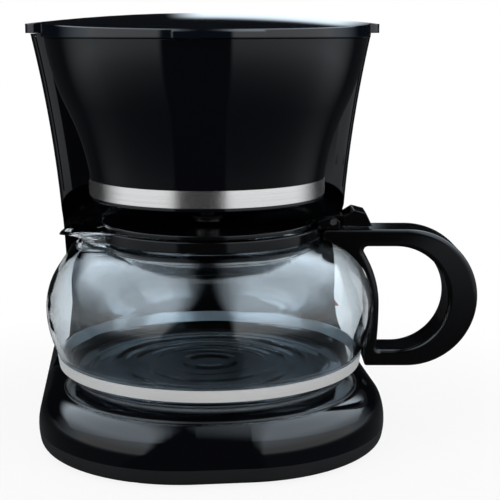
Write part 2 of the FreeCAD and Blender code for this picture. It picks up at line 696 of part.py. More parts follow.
# Tower with the tank and the carafe bay
def tower_half(level, margin):
    """Half width of the tower above its waist, less a margin."""
    return f"(waist_r + rise_curve - sqrt(rise_curve^2 - ({level} - waist_z)^2) - {margin})"


def rise(margin, low, top):
    """Hourglass outline from the waist upwards."""
    foot, head = tower_half(low, margin), tower_half(top, margin)
    return ((f"-{foot}", low), (foot, low, "-rise_curve"), (head, top), (f"-{head}", top, "-rise_curve"))


def flare():
    """Hourglass outline from the seam up to the waist."""
    foot, bend = seam_x("0"), f"-{flare_curve}"
    return ((f"-{foot}", "seam_z"), (foot, "seam_z", "skirt_curve"), (shoulder_x, shoulder_z, bend),
            ("waist_r", "waist_z"), ("-waist_r", "waist_z", bend),
            (f"-{shoulder_x}", shoulder_z, "skirt_curve"))


def slab(label, points, margin, *rooms):
    """An outline carried from the tower's front to its rear wall, less turned rooms, rear corners rounded."""
    body = new_body(label)
    face = Outline(body, "XZ_Plane", f"-(tower_front + {margin})").loop(*points)
    pad(body, face, f"tower_back - tower_front - 2 * {margin}", Reversed=True)
    for section, y in rooms:
        groove(body, Outline(body, "XZ_Plane", f"-{y}").loop(*section))
    round_upright(body, f"tower_back - {margin}", f"back_corner - {margin}")
    return body


def tower_block():
    upper = slab("tower_upper", rise("0", "waist_z", "tower_top"), "0")
    round_upright(upper, "tower_front", "front_corner")
    return fuse("tower_block", upper, slab("tower_lower", flare(), "0"))


def round_upright(body, level, radius):
    """Round the upright edges of a body's front or rear wall."""
    depth = value(level)

    def upright(edge):
        ends = corners(edge)
        return all(near(p.y, depth) for p in ends) and not near(ends[0].z, ends[-1].z)

    fillet(body, radius, upright)


def bay(margin):
    """Half section of the room for the carafe, grown by a margin."""
    out, top, low = f"bay_r + {margin}", f"bay_top + {margin}", f"deck_z - {margin}"
    curve = f"bay_dome + {margin}"
    return (("0", low), (out, low), (out, f"{top} - ({curve})", curve), (f"{out} - ({curve})", top),
            ("0", top))


def funnel_room(margin):
    """Half section of the funnel's outside, grown by a margin and carried up past the tower."""
    foot, top, over = f"band_r + {margin}", f"bowl_top_r + {margin}", "tower_top + 2"
    return (("0", "bowl_low - 2"), (foot, "bowl_low - 2"), (foot, "band_high", "-bowl_curve"),
            (f"{bowl_mid_r} + {margin}", bowl_mid_z, "bowl_curve"), (top, "bowl_top"), (top, over),
            ("0", over))


def tank_room():
    walls = (bay("wall"), "0"), (funnel_room("(gap + wall)"), "bowl_y")
    return slab("tank_room", rise("wall", tank_floor, "(tower_top + 1)"), "wall", *walls)


def dry_room():
    """Space for the hoses below the tank, with flat sides inside the flare."""
    foot, side, top = seam_x("wall"), f"({shoulder_x} - wall)", "(waist_r - wall)"
    bend = f"({shoulder_z} + waist_z) / 2"
    outline = ((f"-{foot}", "seam_z"), (foot, "seam_z"), (side, shoulder_z), (top, bend), (top, "waist_z"),
               (f"-{top}", "waist_z"), (f"-{top}", bend), (f"-{side}", shoulder_z))
    return slab("dry_room", outline, "wall", (bay("wall"), "0"))


def hinge_ears():
    """Two ears on the rear wall, which hold the lid's pins."""
    body = new_body("hinge_ears")
    foot, root = "hinge_z - ear_drop", "tower_back - wall / 2"
    face = "hinge_y - hinge_r"
    for level in ("hinge_mid", "-hinge_out"):
        ear = Outline(body, "YZ_Plane", level)
        ear.loop((root, foot), (face, foot), ("hinge_y + hinge_r", "hinge_z - hinge_r"),
                 ("hinge_y + hinge_r", "hinge_z", "hinge_r"), ("hinge_y", "hinge_z + hinge_r", "hinge_r"),
                 (face, "hinge_z"), (face, "hinge_z - 2 * hinge_r"), (root, "hinge_z - 2 * hinge_r"))
        pad(body, ear, "hinge_out - hinge_mid")
    bore = Outline(body, "YZ_Plane").circle("hinge_y", "hinge_z", "hinge_pin_r + pin_fit")
    pocket(body, bore, "3 * hinge_out", Midplane=True)
    return body


def rear_posts():
    body = new_body("rear_posts")
    body.AllowCompound = True
    add_posts(body, "rear_post_x", "rear_post_y")
    return body


def tower_housing():
    doorway = block("doorway", "2 * well_r", "3 * wall", "deck_z - wall - seam_z", "-well_r",
                    "tower_front - wall", "seam_z")
    through = "2 * wall"
    below = "waist_z - wall / 2"
    riser_hole = cylinder("riser_hole", "riser_r + seal_ring", through, "0", "riser_y", below)
    outlet_hole = cylinder("outlet_hole", "outlet_r + seal_ring", through, "-leg_x", "outlet_y", below)
    notch = block("arm_notch", "arm_wide + 2 * gap", "tower_back - tower_front - 3 * wall", "bowl_top",
                  "-arm_wide / 2 - gap", "tower_front", "arm_low - gap")
    window = block("switch_window", "switch_deep + 4 * wall", f"2 * ({switch_half_y} + gap)",
                   f"2 * ({switch_half_z} + gap)", f"{bezel_back} - switch_deep - gap",
                   f"switch_y - {switch_half_y} - gap", f"switch_z - {switch_half_z} - gap")
    recess = block("switch_recess", "4 * wall", "bezel_wide + 2 * gap", "bezel_high + 2 * gap", bezel_back,
                   "switch_y - bezel_wide / 2 - gap", "switch_z - bezel_high / 2 - gap")
    gland_hole = cylinder("gland_hole", "gland_r", "3 * wall", "gland_x", "tower_back - 2 * wall", "gland_z")
    gland_hole.Placement = Placement(Vector(), Rotation(Vector(1, 0, 0), -90))
    hollow = fuse("tower_hollow", turned("bay_room", *bay("0")), turned("plate_well", *well_section()),
                  turned("funnel_seat", *funnel_room("gap"), y="bowl_y"), tank_room(), dry_room(), doorway,
                  riser_hole, outlet_hole, notch, window, recess, gland_hole)
    shell = cut("tower_shell", tower_block(), hollow)
    return fuse("tower_housing", shell, rear_posts(), hinge_ears())


# Water path
def tube_section(label, radius, bore, low, high, y):
    return turned(label, (bore, low), (radius, low), (radius, high), (bore, high), y=y)


def riser_tube():
    return tube_section("riser_tube", "riser_r", "riser_bore", "riser_low + wall", "arm_low + 2 * arm_skin",
                        "riser_y")


def tank_seals():
    low, high = "waist_z", tank_floor
    seals = [
        tube_section("riser_seal", "riser_r + seal_ring", "riser_r", low, high, "riser_y"),
        turned("outlet_seal", ("outlet_r", low), ("outlet_r + seal_ring", low),
               ("outlet_r + seal_ring", high), ("outlet_r", high), x="-leg_x", y="outlet_y"),
    ]
    return group("tank_seals", *seals)


def check_valve():
    """One-way valve under the tank outlet, with a spigot for the hose."""
    bore = "tube_bore"
    tail = f"{check_low} - hose_grip"
    return turned("check_valve", (bore, tail), ("tube_r", tail), ("tube_r", check_low),
                  ("check_r", check_low), ("check_r", "waist_z"), ("outlet_r", "waist_z"),
                  ("outlet_r", f"{tank_floor} + wall"), (bore, f"{tank_floor} + wall"), x="-leg_x",
                  y="outlet_y")


def hose(label, bore, *points):
    """A silicone hose through corner points, with equal bends."""
    spots = [Vector(*(value(entry) for entry in point)) for point in points]
    bend = value("hose_bend")
    edges = []
    start = spots[0]
    for before, corner, after in zip(spots, spots[1:], spots[2:]):
        into = (corner - before).normalize()
        out = (after - corner).normalize()
        first, last = corner - into * bend, corner + out * bend
        middle = corner + (out - into).normalize() * bend * (math.sqrt(2) - 1)
        edges += [Part.makeLine(start, first), Part.Arc(first, middle, last).toShape()]
        start = last
    edges.append(Part.makeLine(start, spots[-1]))
    spine = Part.Wire(edges)
    along = (spots[1] - spots[0]).normalize()
    tubes = []
    for radius in ("hose_r", f"{bore} + hose_fit"):
        ring = Part.Wire(Part.makeCircle(value(radius), spots[0], along))
        tubes.append(spine.makePipeShell([ring], True, False))
    made = doc.addObject("Part::Feature", label)
    made.Label = label
    made.Shape = tubes[0].cut(tubes[1])
    return stand(made)


def hoses():
    start = "leg_end - hose_grip"
    cold = hose("cold_hose", "tube_r", ("-leg_x", start, tube_z), ("-leg_x", "outlet_y", tube_z),
                ("-leg_x", "outlet_y", check_low))
    hot = hose("hot_hose", "tube_r", ("leg_x", start, tube_z), ("leg_x", "riser_y", tube_z),
               ("0", "riser_y", tube_z), ("0", "riser_y", "riser_low"))
    return cold, hot


def riser_joint():
    """Stepped coupling between the hot hose and the riser."""
    low = "riser_low - hose_grip"
    return turned("riser_joint", ("tube_bore", low), ("tube_r", low), ("tube_r", "riser_low"),
                  ("hose_r", "riser_low"), ("hose_r", "riser_low + hose_grip"),
                  ("riser_r + pin_fit", "riser_low + hose_grip"), ("riser_r + pin_fit", "riser_low + wall"),
                  ("tube_bore", "riser_low + wall"), y="riser_y")


def hose_clips():
    """Wire clips round the hose ends."""
    grip = "hose_grip / 2"
    spots = (("-leg_x", f"leg_end - {grip}", tube_z, 90), ("leg_x", f"leg_end - {grip}", tube_z, 90),
             ("-leg_x", "outlet_y", f"{check_low} - {grip}", 0), ("0", "riser_y", f"riser_low - {grip}", 0))
    clips = []
    for number, (x, y, z, lean) in enumerate(spots, 1):
        clip = doc.addObject("Part::Torus", f"hose_clip_{number}")
        clip.Placement = Placement(Vector(), Rotation(Vector(1, 0, 0), lean))
        drive(clip, "Radius1", "hose_r + clip_r")
        drive(clip, "Radius2", "clip_r")
        clips.append(stand(clip, x, y, z))
    return group("hose_clips", *clips)


def spray_arm():
    """Duct from the riser to a shower head over the middle of the filter."""
    body = new_body("spray_arm", y="bowl_y")
    reach = "(riser_y - bowl_y)"
    half = "arm_wide / 2"
    head_low = "(arm_low - head_drop)"
    pad(body, Outline(body, "XZ_Plane", f"-{reach}").box(f"-{half}", "arm_low", half, "arm_high"), reach)
    pad(body, Outline(body, "XY_Plane", head_low).circle("0", "0", "head_r"), f"arm_high - {head_low}")
    pad(body, Outline(body, "XY_Plane", "arm_low").circle("0", reach, half), "arm_high - arm_low")
    chamber_r, low, high = "head_r - arm_skin", f"{head_low} + arm_skin", "arm_high - arm_skin"
    groove(body, Outline(body, "XZ_Plane").loop(("0", low), (chamber_r, low), (chamber_r, high), ("0", high)))
    duct = Outline(body, "XZ_Plane", f"-({reach} - riser_bore)")
    duct.box(f"-({half} - arm_skin)", "arm_low + arm_skin", f"{half} - arm_skin", "arm_high - arm_skin")
    pocket(body, duct, f"{reach} - riser_bore", Reversed=True)
    socket = Outline(body, "XY_Plane", "arm_low").circle("0", reach, "riser_r + pin_fit")
    pocket(body, socket, "arm_high - arm_low - arm_skin", Reversed=True)
    jet = Outline(body, "XY_Plane", head_low).circle("jet_ring", "0", "jet_r")
    pocket(body, jet, "2 * arm_skin", Midplane=True)
    doc.recompute()
    ring = body.newObject("PartDesign::PolarPattern", "jet_ring_pattern")
    ring.Originals = [body.Tip]
    ring.Axis = (jet.sketch, ["N_Axis"])
    ring.Angle = 360
    ring.Occurrences = 8
    body.Tip = ring
    return body


# Funnel, basket, filter and drip valve
def funnel_housing():
    inner_top = "bowl_top_r - bowl_wall"
    groove_r, lip = "band_r - band_t", "band_r - gap"
    body = turned(
        "funnel_housing", ("drip_r", "bowl_low"), (lip, "bowl_low"), (lip, "band_low"),
        (groove_r, "band_low"), (groove_r, "band_high"), ("band_r", "band_high", "-bowl_curve"),
        (bowl_mid_r, bowl_mid_z, "bowl_curve"), ("bowl_top_r", "bowl_top"),
        (inner_top, "bowl_top", "-bowl_curve"), (f"{bowl_mid_r} - bowl_wall", bowl_mid_z, "bowl_curve"),
        (band_in, "band_high"), (band_in, funnel_floor), ("drip_r", funnel_floor), y="bowl_y")
    notch = Outline(body, "XZ_Plane")
    notch.box("-arm_wide / 2 - gap", "arm_low - gap", "arm_wide / 2 + gap", "bowl_top + 1")
    pocket(body, notch, "2 * bowl_top_r")
    return body


def steel_band():
    inner = "band_r - band_t + pin_fit"
    return turned("steel_band", (inner, "band_low"), ("band_r", "band_low"), ("band_r", "band_high"),
                  (inner, "band_high"), y="bowl_y")


def filter_basket():
    foot, side = f"{band_in} - basket_gap", f"{bowl_mid_r} - bowl_wall - basket_gap"
    return turned(
        "filter_basket", ("valve_bore", funnel_floor), (foot, funnel_floor),
        (foot, "band_high", "-bowl_curve"), (side, bowl_mid_z), ("basket_top_r", "basket_top"),
        ("basket_top_r - basket_wall", "basket_top"), (f"{side} - basket_wall", bowl_mid_z, "bowl_curve"),
        (f"{foot} - basket_wall", "band_high"), (f"{foot} - basket_wall", basket_floor),
        ("valve_bore", basket_floor), y="bowl_y")


def mesh_filter():
    top = "basket_top + filter_rim"
    return turned(
        "mesh_filter", ("0", "filter_low"), ("filter_low_r", "filter_low"), ("filter_top_r", "basket_top"),
        ("basket_top_r", "basket_top"), ("basket_top_r", top), ("filter_top_r - mesh_t", top),
        ("filter_low_r - mesh_t", "filter_low + mesh_t"), ("0", "filter_low + mesh_t"), y="bowl_y")


def drip_valve():
    """Plunger that the carafe lid holds up, clear of its seat in the basket."""
    head_low = f"({basket_floor} + valve_lift)"
    return turned(
        "drip_valve", ("0", valve_tip), ("stem_r", valve_tip), ("stem_r", f"{valve_tip} + retainer_t"),
        ("retainer_r", f"{valve_tip} + retainer_t"), ("retainer_r", retainer_top), ("stem_r", retainer_top),
        ("stem_r", head_low), ("valve_head_r", head_low), ("valve_head_r", f"{head_low} + valve_head_t"),
        ("0", f"{head_low} + valve_head_t"), y="bowl_y")


def valve_spring():
    """Coil between the plunger's retainer and the basket's floor."""
    wire = value("spring_wire")
    low = value(f"{retainer_top} + spring_wire + gap / 2")
    high = value(f"{funnel_floor} - spring_wire - gap / 2")
    radius, turns = value("spring_r"), value("spring_turns")
    spine = Part.makeLongHelix((high - low) / turns, high - low, radius, 0)
    ring = Part.Wire(Part.makeCircle(wire, Vector(radius, 0, 0), Vector(0, 1, 0)))
    made = doc.addObject("Part::Feature", "valve_spring")
    made.Label = "valve_spring"
    made.Shape = Part.Wire(spine).makePipeShell([ring], True, True)
    return stand(made, "0", "bowl_y", str(low))


# Lid
def lid_plan(outline, margin):
    """Round front over the funnel and wide rear over the tank, about the crown."""
    front, side = f"(lid_front_r - {margin})", f"(lid_side - {margin} * 1.5)"
    back, step = f"(lid_back - crown_y - {margin} / 2)", f"(lid_step - crown_y + {margin})"
    middle, corner = "(bowl_y - crown_y)", f"(lid_corner - {margin})"
    shoulder = f"sqrt({front}^2 - ({step} - {middle})^2)"
    wing = f"(wing_corner - {margin} / 2)"
    return outline.loop(
        (f"-{shoulder}", step, front), ("0", f"{middle} - {front}", front), (shoulder, step),
        (f"{side} - {wing}", step, wing), (side, f"{step} + {wing}"), (side, f"{back} - {corner}", corner),
        (f"{side} - {corner}", back), (f"-({side} - {corner})", back, corner),
        (f"-{side}", f"{back} - {corner}"), (f"-{side}", f"{step} + {wing}", wing),
        (f"-({side} - {wing})", step))


def crown(body, drop):
    """Trim the top to a shallow dome."""
    top, rim, high = f"crown_z - {drop}", "1.5 * lid_side", "crown_z + 5"
    fall = f"(crown_r - sqrt(crown_r^2 - ({rim})^2))"
    above = Outline(body, "XZ_Plane")
    above.loop(("0", top), ("0", high), (rim, high), (rim, f"{top} - {fall}", "crown_r"))
    groove(body, above)


def top_lid():
    outer = new_body("lid_outer", y="crown_y")
    pad(outer, lid_plan(Outline(outer, "XY_Plane", "lid_front_z"), "0"), "crown_z - lid_front_z")
    tip, half = "(lid_front_r + tab_out)", "(tab_wide / 2)"
    tab_y = f"(bowl_y - crown_y - sqrt({tip}^2 - {half}^2))"
    root = f"{tab_y} + 2 * tab_out + lid_lip"
    tab = Outline(outer, "XY_Plane", "lid_front_z")
    tab.loop((f"-{half}", tab_y, tip), (half, tab_y), (half, root), (f"-{half}", root))
    pad(outer, tab, "tab_t")
    crown(outer, "0")
    rear = Outline(outer, "XY_Plane", "lid_front_z")
    rear.box("-2 * lid_side", "lid_step - crown_y", "2 * lid_side", "2 * lid_back")
    pocket(outer, rear, "lid_rear_z - lid_front_z", Reversed=True)
    axis_y = "(hinge_y - crown_y)"
    for level in ("hinge_in", "-(hinge_mid - gap)"):
        knuckle = Outline(outer, "YZ_Plane", level)
        knuckle.loop((f"{axis_y} - 2 * hinge_r", "hinge_z - hinge_r"),
                     (axis_y, "hinge_z - hinge_r", "hinge_r"), (f"{axis_y} + hinge_r", "hinge_z", "hinge_r"),
                     (axis_y, "hinge_z + hinge_r"), (f"{axis_y} - 2 * hinge_r", "hinge_z + hinge_r"))
        pad(outer, knuckle, "hinge_mid - gap - hinge_in")
    bore = Outline(outer, "YZ_Plane").circle(axis_y, "hinge_z", "hinge_pin_r + pin_fit")
    pocket(outer, bore, "3 * hinge_out", Midplane=True)
    notches = Outline(outer, "XY_Plane", "lid_front_z")
    for inner, out in (("hinge_mid - gap", "hinge_out + gap"), ("-hinge_out - gap", "-hinge_mid + gap")):
        notches.box(inner, f"{axis_y} - hinge_r - 4 * gap", out, f"{axis_y} + 2 * hinge_r")
    pocket(outer, notches, "2 * (crown_z - lid_front_z)", Reversed=True)
    inner = new_body("lid_inner", y="crown_y")
    pad(inner, lid_plan(Outline(inner, "XY_Plane", "lid_front_z - 1"), "lid_lip"), "crown_z - lid_front_z")
    crown(inner, "lid_wall")
    return cut("top_lid", outer, inner)


def lid_pins():
    pins = []
    for number, x in enumerate(("hinge_in", "-hinge_out"), 1):
        pin = cylinder(f"lid_pin_{number}", "hinge_pin_r", "hinge_out - hinge_in", x, "hinge_y", "hinge_z")
        pin.Placement = Placement(Vector(), Rotation(Vector(0, 1, 0), 90))
        pins.append(pin)
    return group("lid_pins", *pins)


# Switch and cord inlet
def switch_bezel():
    body = new_body("switch_bezel", "switch_x", "switch_y", "switch_z")
    half_y, half_z = "bezel_wide / 2", "bezel_high / 2"
    pad(body, Outline(body, "YZ_Plane").box(f"-{half_y}", f"-{half_z}", half_y, half_z), "bezel_t",
        Reversed=True)
    inner = Outline(body, "YZ_Plane", "-bezel_t")
    inner.box(f"-{switch_half_y}", f"-{switch_half_z}", switch_half_y, switch_half_z)
    pad(body, inner, "switch_deep", Reversed=True)
    room = Outline(body, "YZ_Plane").box(f"-{rocker_half_y}", f"-{rocker_half_z}", rocker_half_y,
                                         rocker_half_z)
    pocket(body, room, "bezel_t + switch_deep - switch_skin")
    return body


def rocker_button():
    """Dished rocker, tilted so that its lower end stands out."""
    body = new_body("rocker_button", "switch_x - rocker_dish", "switch_y", "switch_z", Vector(0, 1, 0),
                    "rocker_tilt")
    half, out = "rocker_high / 2", "(rocker_dish + rocker_out)"
    root = "(rocker_root - rocker_dish)"
    dish = f"(({half})^2 + rocker_dish^2) / (2 * rocker_dish)"
    side = Outline(body, "XZ_Plane")
    side.loop((f"-{root}", f"-{half} + 2"), (out, f"-{half}", f"-({dish})"), (out, half),
              (f"-{root}", f"{half} - 2"))
    pad(body, side, "rocker_wide", Midplane=True)
    return body


def cord_gland():
    """Rubber bushing where the cord would enter, through the rear wall."""
    body = new_body("cord_gland", "gland_x", "tower_back", "gland_z")
    flange = "gland_flange"
    section = Outline(body, "XY_Plane")
    section.loop(("gland_bore", "-wall - gland_t"), (flange, "-wall - gland_t"), (flange, "-wall"),
                 ("gland_r", "-wall"), ("gland_r", "0"), (flange, "0"), (flange, "gland_t"),
                 ("gland_bore", "gland_t"))
    revolve(body, section)
    return body


# Carafe
neck_z = ("(belly_z + sqrt((dome_curve + neck_curve)^2"
          " - (neck_r + neck_curve - belly_r + dome_curve)^2))")


def dome_end(margin):
    """Where the glass dome runs into the neck, on a surface a margin inside the outer one."""
    share = f"((dome_curve - {margin}) / (dome_curve + neck_curve))"
    return (f"belly_r - dome_curve + {share} * (neck_r + neck_curve - belly_r + dome_curve)",
            f"belly_z + {share} * ({neck_z} - belly_z)")


def carafe_glass():
    body = new_body("carafe_glass", turn="carafe_turn")
    deep = "glass_wall"
    outer_x, outer_z = dome_end("0")
    inner_x, inner_z = dome_end(deep)
    section = Outline(body, "XZ_Plane")
    section.loop(
        ("0", "glass_low"), ("glass_foot_r", "glass_low", "glass_foot_curve"),
        ("glass_heel_r", "glass_heel_z"), ("glass_seat_r", "glass_seat_z", "belly_curve"),
        ("belly_r", "belly_z", "dome_curve"), (outer_x, outer_z, "-neck_curve"), ("neck_r", neck_z),
        ("neck_r", "rim_z"), (f"neck_r - {deep}", "rim_z"),
        (f"neck_r - {deep}", neck_z, f"neck_curve + {deep}"), (inner_x, inner_z, f"-dome_curve + {deep}"),
        (f"belly_r - {deep}", "belly_z", "-belly_curve"), (f"glass_seat_r - {deep}", "glass_seat_z"),
        (f"glass_heel_r - {deep}", "glass_heel_z", "-glass_foot_curve"),
        (f"glass_foot_r - {deep} / 2", f"glass_low + {deep}"), ("0", f"glass_low + {deep}"))
    revolve(body, section)
    spout(body, "AdditiveLoft", "0")
    spout(body, "SubtractiveLoft", deep)
    throat = Outline(body, "XY_Plane", "rim_z + 1").circle("0", "0", f"neck_r - {deep}")
    pocket(body, throat, f"rim_z + 1 - {neck_z} + spout_deep")
    return body


def spout(body, kind, margin):
    """Pouring lip, drawn out from the neck; the inner one is cut to a trough."""
    doc.recompute()
    sections = []
    for level, wide, deep, drop in (("spout_root", "spout_wide", "spout_deep", "0"),
                                    ("spout_tip", "spout_tip_wide", "spout_tip_deep", "spout_drop")):
        half = f"({wide} / 2 - {margin})"
        fall = f"({deep} - {margin} * 0.8)"
        lift = f"{margin} / 2"
        bulge = f"(({half}^2 + {fall}^2) / (2 * {fall}))"
        outline = Outline(body, "YZ_Plane", f"-{level} - {margin} / 8")
        top = f"rim_z - {drop}"
        outline.loop((f"-{half}", top, bulge), (half, top), (half, f"{top} + {lift} + 0.1"),
                     (f"-{half}", f"{top} + {lift} + 0.1"))
        sections.append(outline.sketch)
    loft = body.newObject(f"PartDesign::{kind}", f"spout_{kind.lower()}")
    loft.Profile = sections[0]
    loft.Sections = sections[1:]
    loft.Ruled = True


def carafe_ring():
    return turned("carafe_ring", ("ring_low_r - ring_t", "ring_low"), ("ring_low_r", "ring_low"),
                  ("ring_high_r", "ring_high"), ("ring_high_r - ring_t", "ring_high"), turn="carafe_turn")


def carafe_collar():
    """Open ring round the neck, with two lugs for the lid's pin."""
    body = new_body("carafe_collar", turn="carafe_turn")
    ring = Outline(body, "XZ_Plane").box("collar_in", "collar_low", "collar_r", "collar_high")
    revolve(body, ring, "360 - collar_open", Midplane=True)
    lugs = Outline(body, "XZ_Plane")
    low = "handle_high + gap"
    lugs.loop(("lug_root", low), ("lug_end", low), ("lug_end", "flap_z"), ("flap_x", "lug_top"),
              ("lug_root", "flap_z"))
    pad(body, lugs, "2 * lug_out", Midplane=True)
    middle = Outline(body, "XZ_Plane").box("lug_root - 3", f"{low} - 1", "lug_end + 1", "lug_top + 1")
    pocket(body, middle, "2 * lug_in", Midplane=True)
    bore = Outline(body, "XZ_Plane").circle("flap_x", "flap_z", "flap_pin_r + pin_fit")
    pocket(body, bore, "3 * lug_out", Midplane=True)
    return body


def carafe_lid_pin():
    body = new_body("carafe_lid_pin", turn="carafe_turn")
    pad(body, Outline(body, "XZ_Plane").circle("flap_x", "flap_z", "flap_pin_r"), "2 * lug_out",
        Midplane=True)
    return body


def carafe_lid():
    """Lid with a raised middle, hinged at the handle, with a thumb tab."""
    top = "cap_low + cap_t"
    inner_skirt = "cap_skirt_r - cap_t"
    body = turned(
        "carafe_lid", ("0", "boss_z - cap_t"), ("0", "boss_z"), ("boss_r", "boss_z"),
        ("cap_slope_r", top), ("cap_r", top), ("cap_r", "cap_low"), ("cap_skirt_r", "cap_low"),
        ("cap_skirt_r", "cap_skirt_low"), (inner_skirt, "cap_skirt_low"), (inner_skirt, "cap_low"),
        ("cap_slope_r", "cap_low"), ("boss_r", "boss_z - cap_t"), turn="carafe_turn")
    arm = Outline(body, "XZ_Plane")
    arm_high = "flap_z + flap_pin_r + cap_t / 2"
    arm.loop((inner_skirt, "cap_low + gap"), ("flap_x - cap_t", "cap_low - gap"),
             ("thumb_in + cap_t", "thumb_low"), ("thumb_in + cap_t", arm_high), ("flap_x", arm_high),
             (inner_skirt, top))
    pad(body, arm, "2 * (lug_in - gap)", Midplane=True)
    thumb = Outline(body, "XZ_Plane")
    thumb.loop(("thumb_in", "thumb_low"), ("thumb_end", "thumb_low"), ("thumb_end - 3", "thumb_top - 1.6"),
               ("thumb_end - 9", "thumb_top"), ("thumb_in", arm_high))
    pad(body, thumb, "2 * thumb_half", Midplane=True)
    bore = Outline(body, "XZ_Plane").circle("flap_x", "flap_z", "flap_pin_r + pin_fit")
    pocket(body, bore, "3 * lug_out", Midplane=True)
    inlet = Outline(body, "XY_Plane", "boss_z")
    inlet.circle("bowl_y * sin(carafe_turn)", "bowl_y * cos(carafe_turn)", "inlet_r")
    pocket(body, inlet, "2 * cap_t")
    return body


def carafe_handle():
    """Closed loop: a strap that follows the glass, two arms and a thick round grip."""
    body = new_body("carafe_handle", turn="carafe_turn")
    dome_x = "(belly_r - dome_curve)"
    dome_r, belly_r = "(dome_curve + handle_hug)", "(belly_curve + handle_hug)"
    root_z = f"belly_z + sqrt({dome_r}^2 - (handle_root - {dome_x})^2)"
    bow = "((handle_high - handle_low) / 2)"
    bow_x, bow_z = f"handle_out - {bow}", "(handle_high + handle_low) / 2"
    hole = "((grip_high - grip_low) / 2)"
    hole_x, hole_z = f"grip_out - {hole}", "(grip_high + grip_low) / 2"
    side = Outline(body, "XZ_Plane")
    side.loop(("hook_r", "handle_low"), ("hook_r", "hook_z", belly_r),
              ("belly_r + handle_hug", "belly_z", dome_r), ("handle_root", root_z),
              ("handle_root", "handle_high"), (bow_x, "handle_high", f"-{bow}"),
              ("handle_out", bow_z, f"-{bow}"), (bow_x, "handle_low"))
    side.loop(("grip_in", "grip_high"), (hole_x, "grip_high", f"-{hole}"), ("grip_out", hole_z, f"-{hole}"),
              (hole_x, "grip_low"), ("strap_low_x", "grip_low", "strap_low_curve"),
              ("strap_x", "belly_z", "strap_curve"))
    pad(body, side, "handle_wide", Midplane=True)
    half, belly_z = value("handle_wide / 2"), value("belly_z")
    upper = Vector(value(dome_x), 0, belly_z)
    lower = Vector(value("belly_r - belly_curve"), 0, belly_z)
    reach = {True: value(dome_r), False: value(belly_r)}
    room = value("handle_round + handle_hug")

    def grip_edge(edge):
        """An edge of either flat side that isn't beside the glass."""
        if not all(near(abs(p.y), half) for p in corners(edge)):
            return False
        middle = edge.valueAt((edge.FirstParameter + edge.LastParameter) / 2)
        high = middle.z > belly_z
        centre = upper if high else lower
        return math.hypot(middle.x - centre.x, middle.z - centre.z) - reach[high] > room

    fillet(body, "handle_round", grip_edge)
    bore = Outline(body, "XY_Plane", "handle_low").circle("ring_screw_x", "0", "ring_screw_r + pin_fit")
    pocket(body, bore, "ring_screw_long + gap", Reversed=True)
    return body


def ring_screw():
    """Screw that closes the steel ring, from below the handle's lower arm."""
    head = "ring_screw_r"
    low = f"handle_low - {head}"
    body = new_body("ring_screw", turn="carafe_turn")
    pad(body, Outline(body, "XY_Plane", low).circle("ring_screw_x", "0", "ring_screw_head"), head)
    pad(body, Outline(body, "XY_Plane", low).circle("ring_screw_x", "0", "ring_screw_r"),
        f"{head} + ring_screw_long")
    return body


PIECES = [
    base_housing(), bottom_cover(), rubber_feet(), cover_screws(), warming_plate(), plate_seal(),
    heater_tube(), heater_bracket(), bracket_screws(), thermostat(), thermal_fuse(), tower_housing(),
    riser_tube(), tank_seals(), check_valve(), *hoses(), riser_joint(), hose_clips(), spray_arm(),
    funnel_housing(), steel_band(), filter_basket(), mesh_filter(), drip_valve(), valve_spring(), top_lid(),
    lid_pins(), switch_bezel(), rocker_button(), cord_gland(), carafe_glass(), carafe_ring(), carafe_collar(),
    carafe_lid_pin(), carafe_lid(), carafe_handle(), ring_screw(),
]
doc.recompute()

faults = [f"{item.Name}: {item.State}" for item in doc.Objects if {"Invalid", "Error"} & set(item.State)]
for piece in PIECES:
    if piece.Shape.isNull() or not piece.Shape.isValid() or not piece.Shape.Solids:
        faults.append(f"{piece.Label}: no sound solid")
if faults:
    raise RuntimeError("; ".join(faults))

os.makedirs("parts", exist_ok=True)
for piece in PIECES:
    piece.Shape.exportStep(f"parts/{piece.Label}.step")
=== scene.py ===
"""Drip coffee maker: gloss black mouldings, steel trims and a glass carafe on a white studio floor."""
import math

import bmesh
import bpy
from mathutils import Matrix, Vector


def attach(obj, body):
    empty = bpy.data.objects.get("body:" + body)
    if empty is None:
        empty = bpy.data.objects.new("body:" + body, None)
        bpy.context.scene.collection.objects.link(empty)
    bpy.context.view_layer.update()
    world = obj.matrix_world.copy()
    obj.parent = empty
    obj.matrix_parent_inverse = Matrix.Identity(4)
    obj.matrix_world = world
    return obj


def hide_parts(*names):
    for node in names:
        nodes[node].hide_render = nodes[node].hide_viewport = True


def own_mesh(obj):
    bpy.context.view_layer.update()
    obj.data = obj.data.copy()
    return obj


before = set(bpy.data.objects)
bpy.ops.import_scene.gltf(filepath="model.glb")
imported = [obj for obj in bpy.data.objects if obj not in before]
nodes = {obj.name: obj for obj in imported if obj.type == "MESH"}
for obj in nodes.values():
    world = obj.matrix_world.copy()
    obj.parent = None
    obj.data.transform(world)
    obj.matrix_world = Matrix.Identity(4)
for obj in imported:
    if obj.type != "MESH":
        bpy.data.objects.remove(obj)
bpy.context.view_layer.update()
MM = 0.001
AXIS = Vector((-22.1, -13.7, 0)) * MM
BOWL = AXIS + Vector((0, 11.4, 0)) * MM


# Shader arithmetic

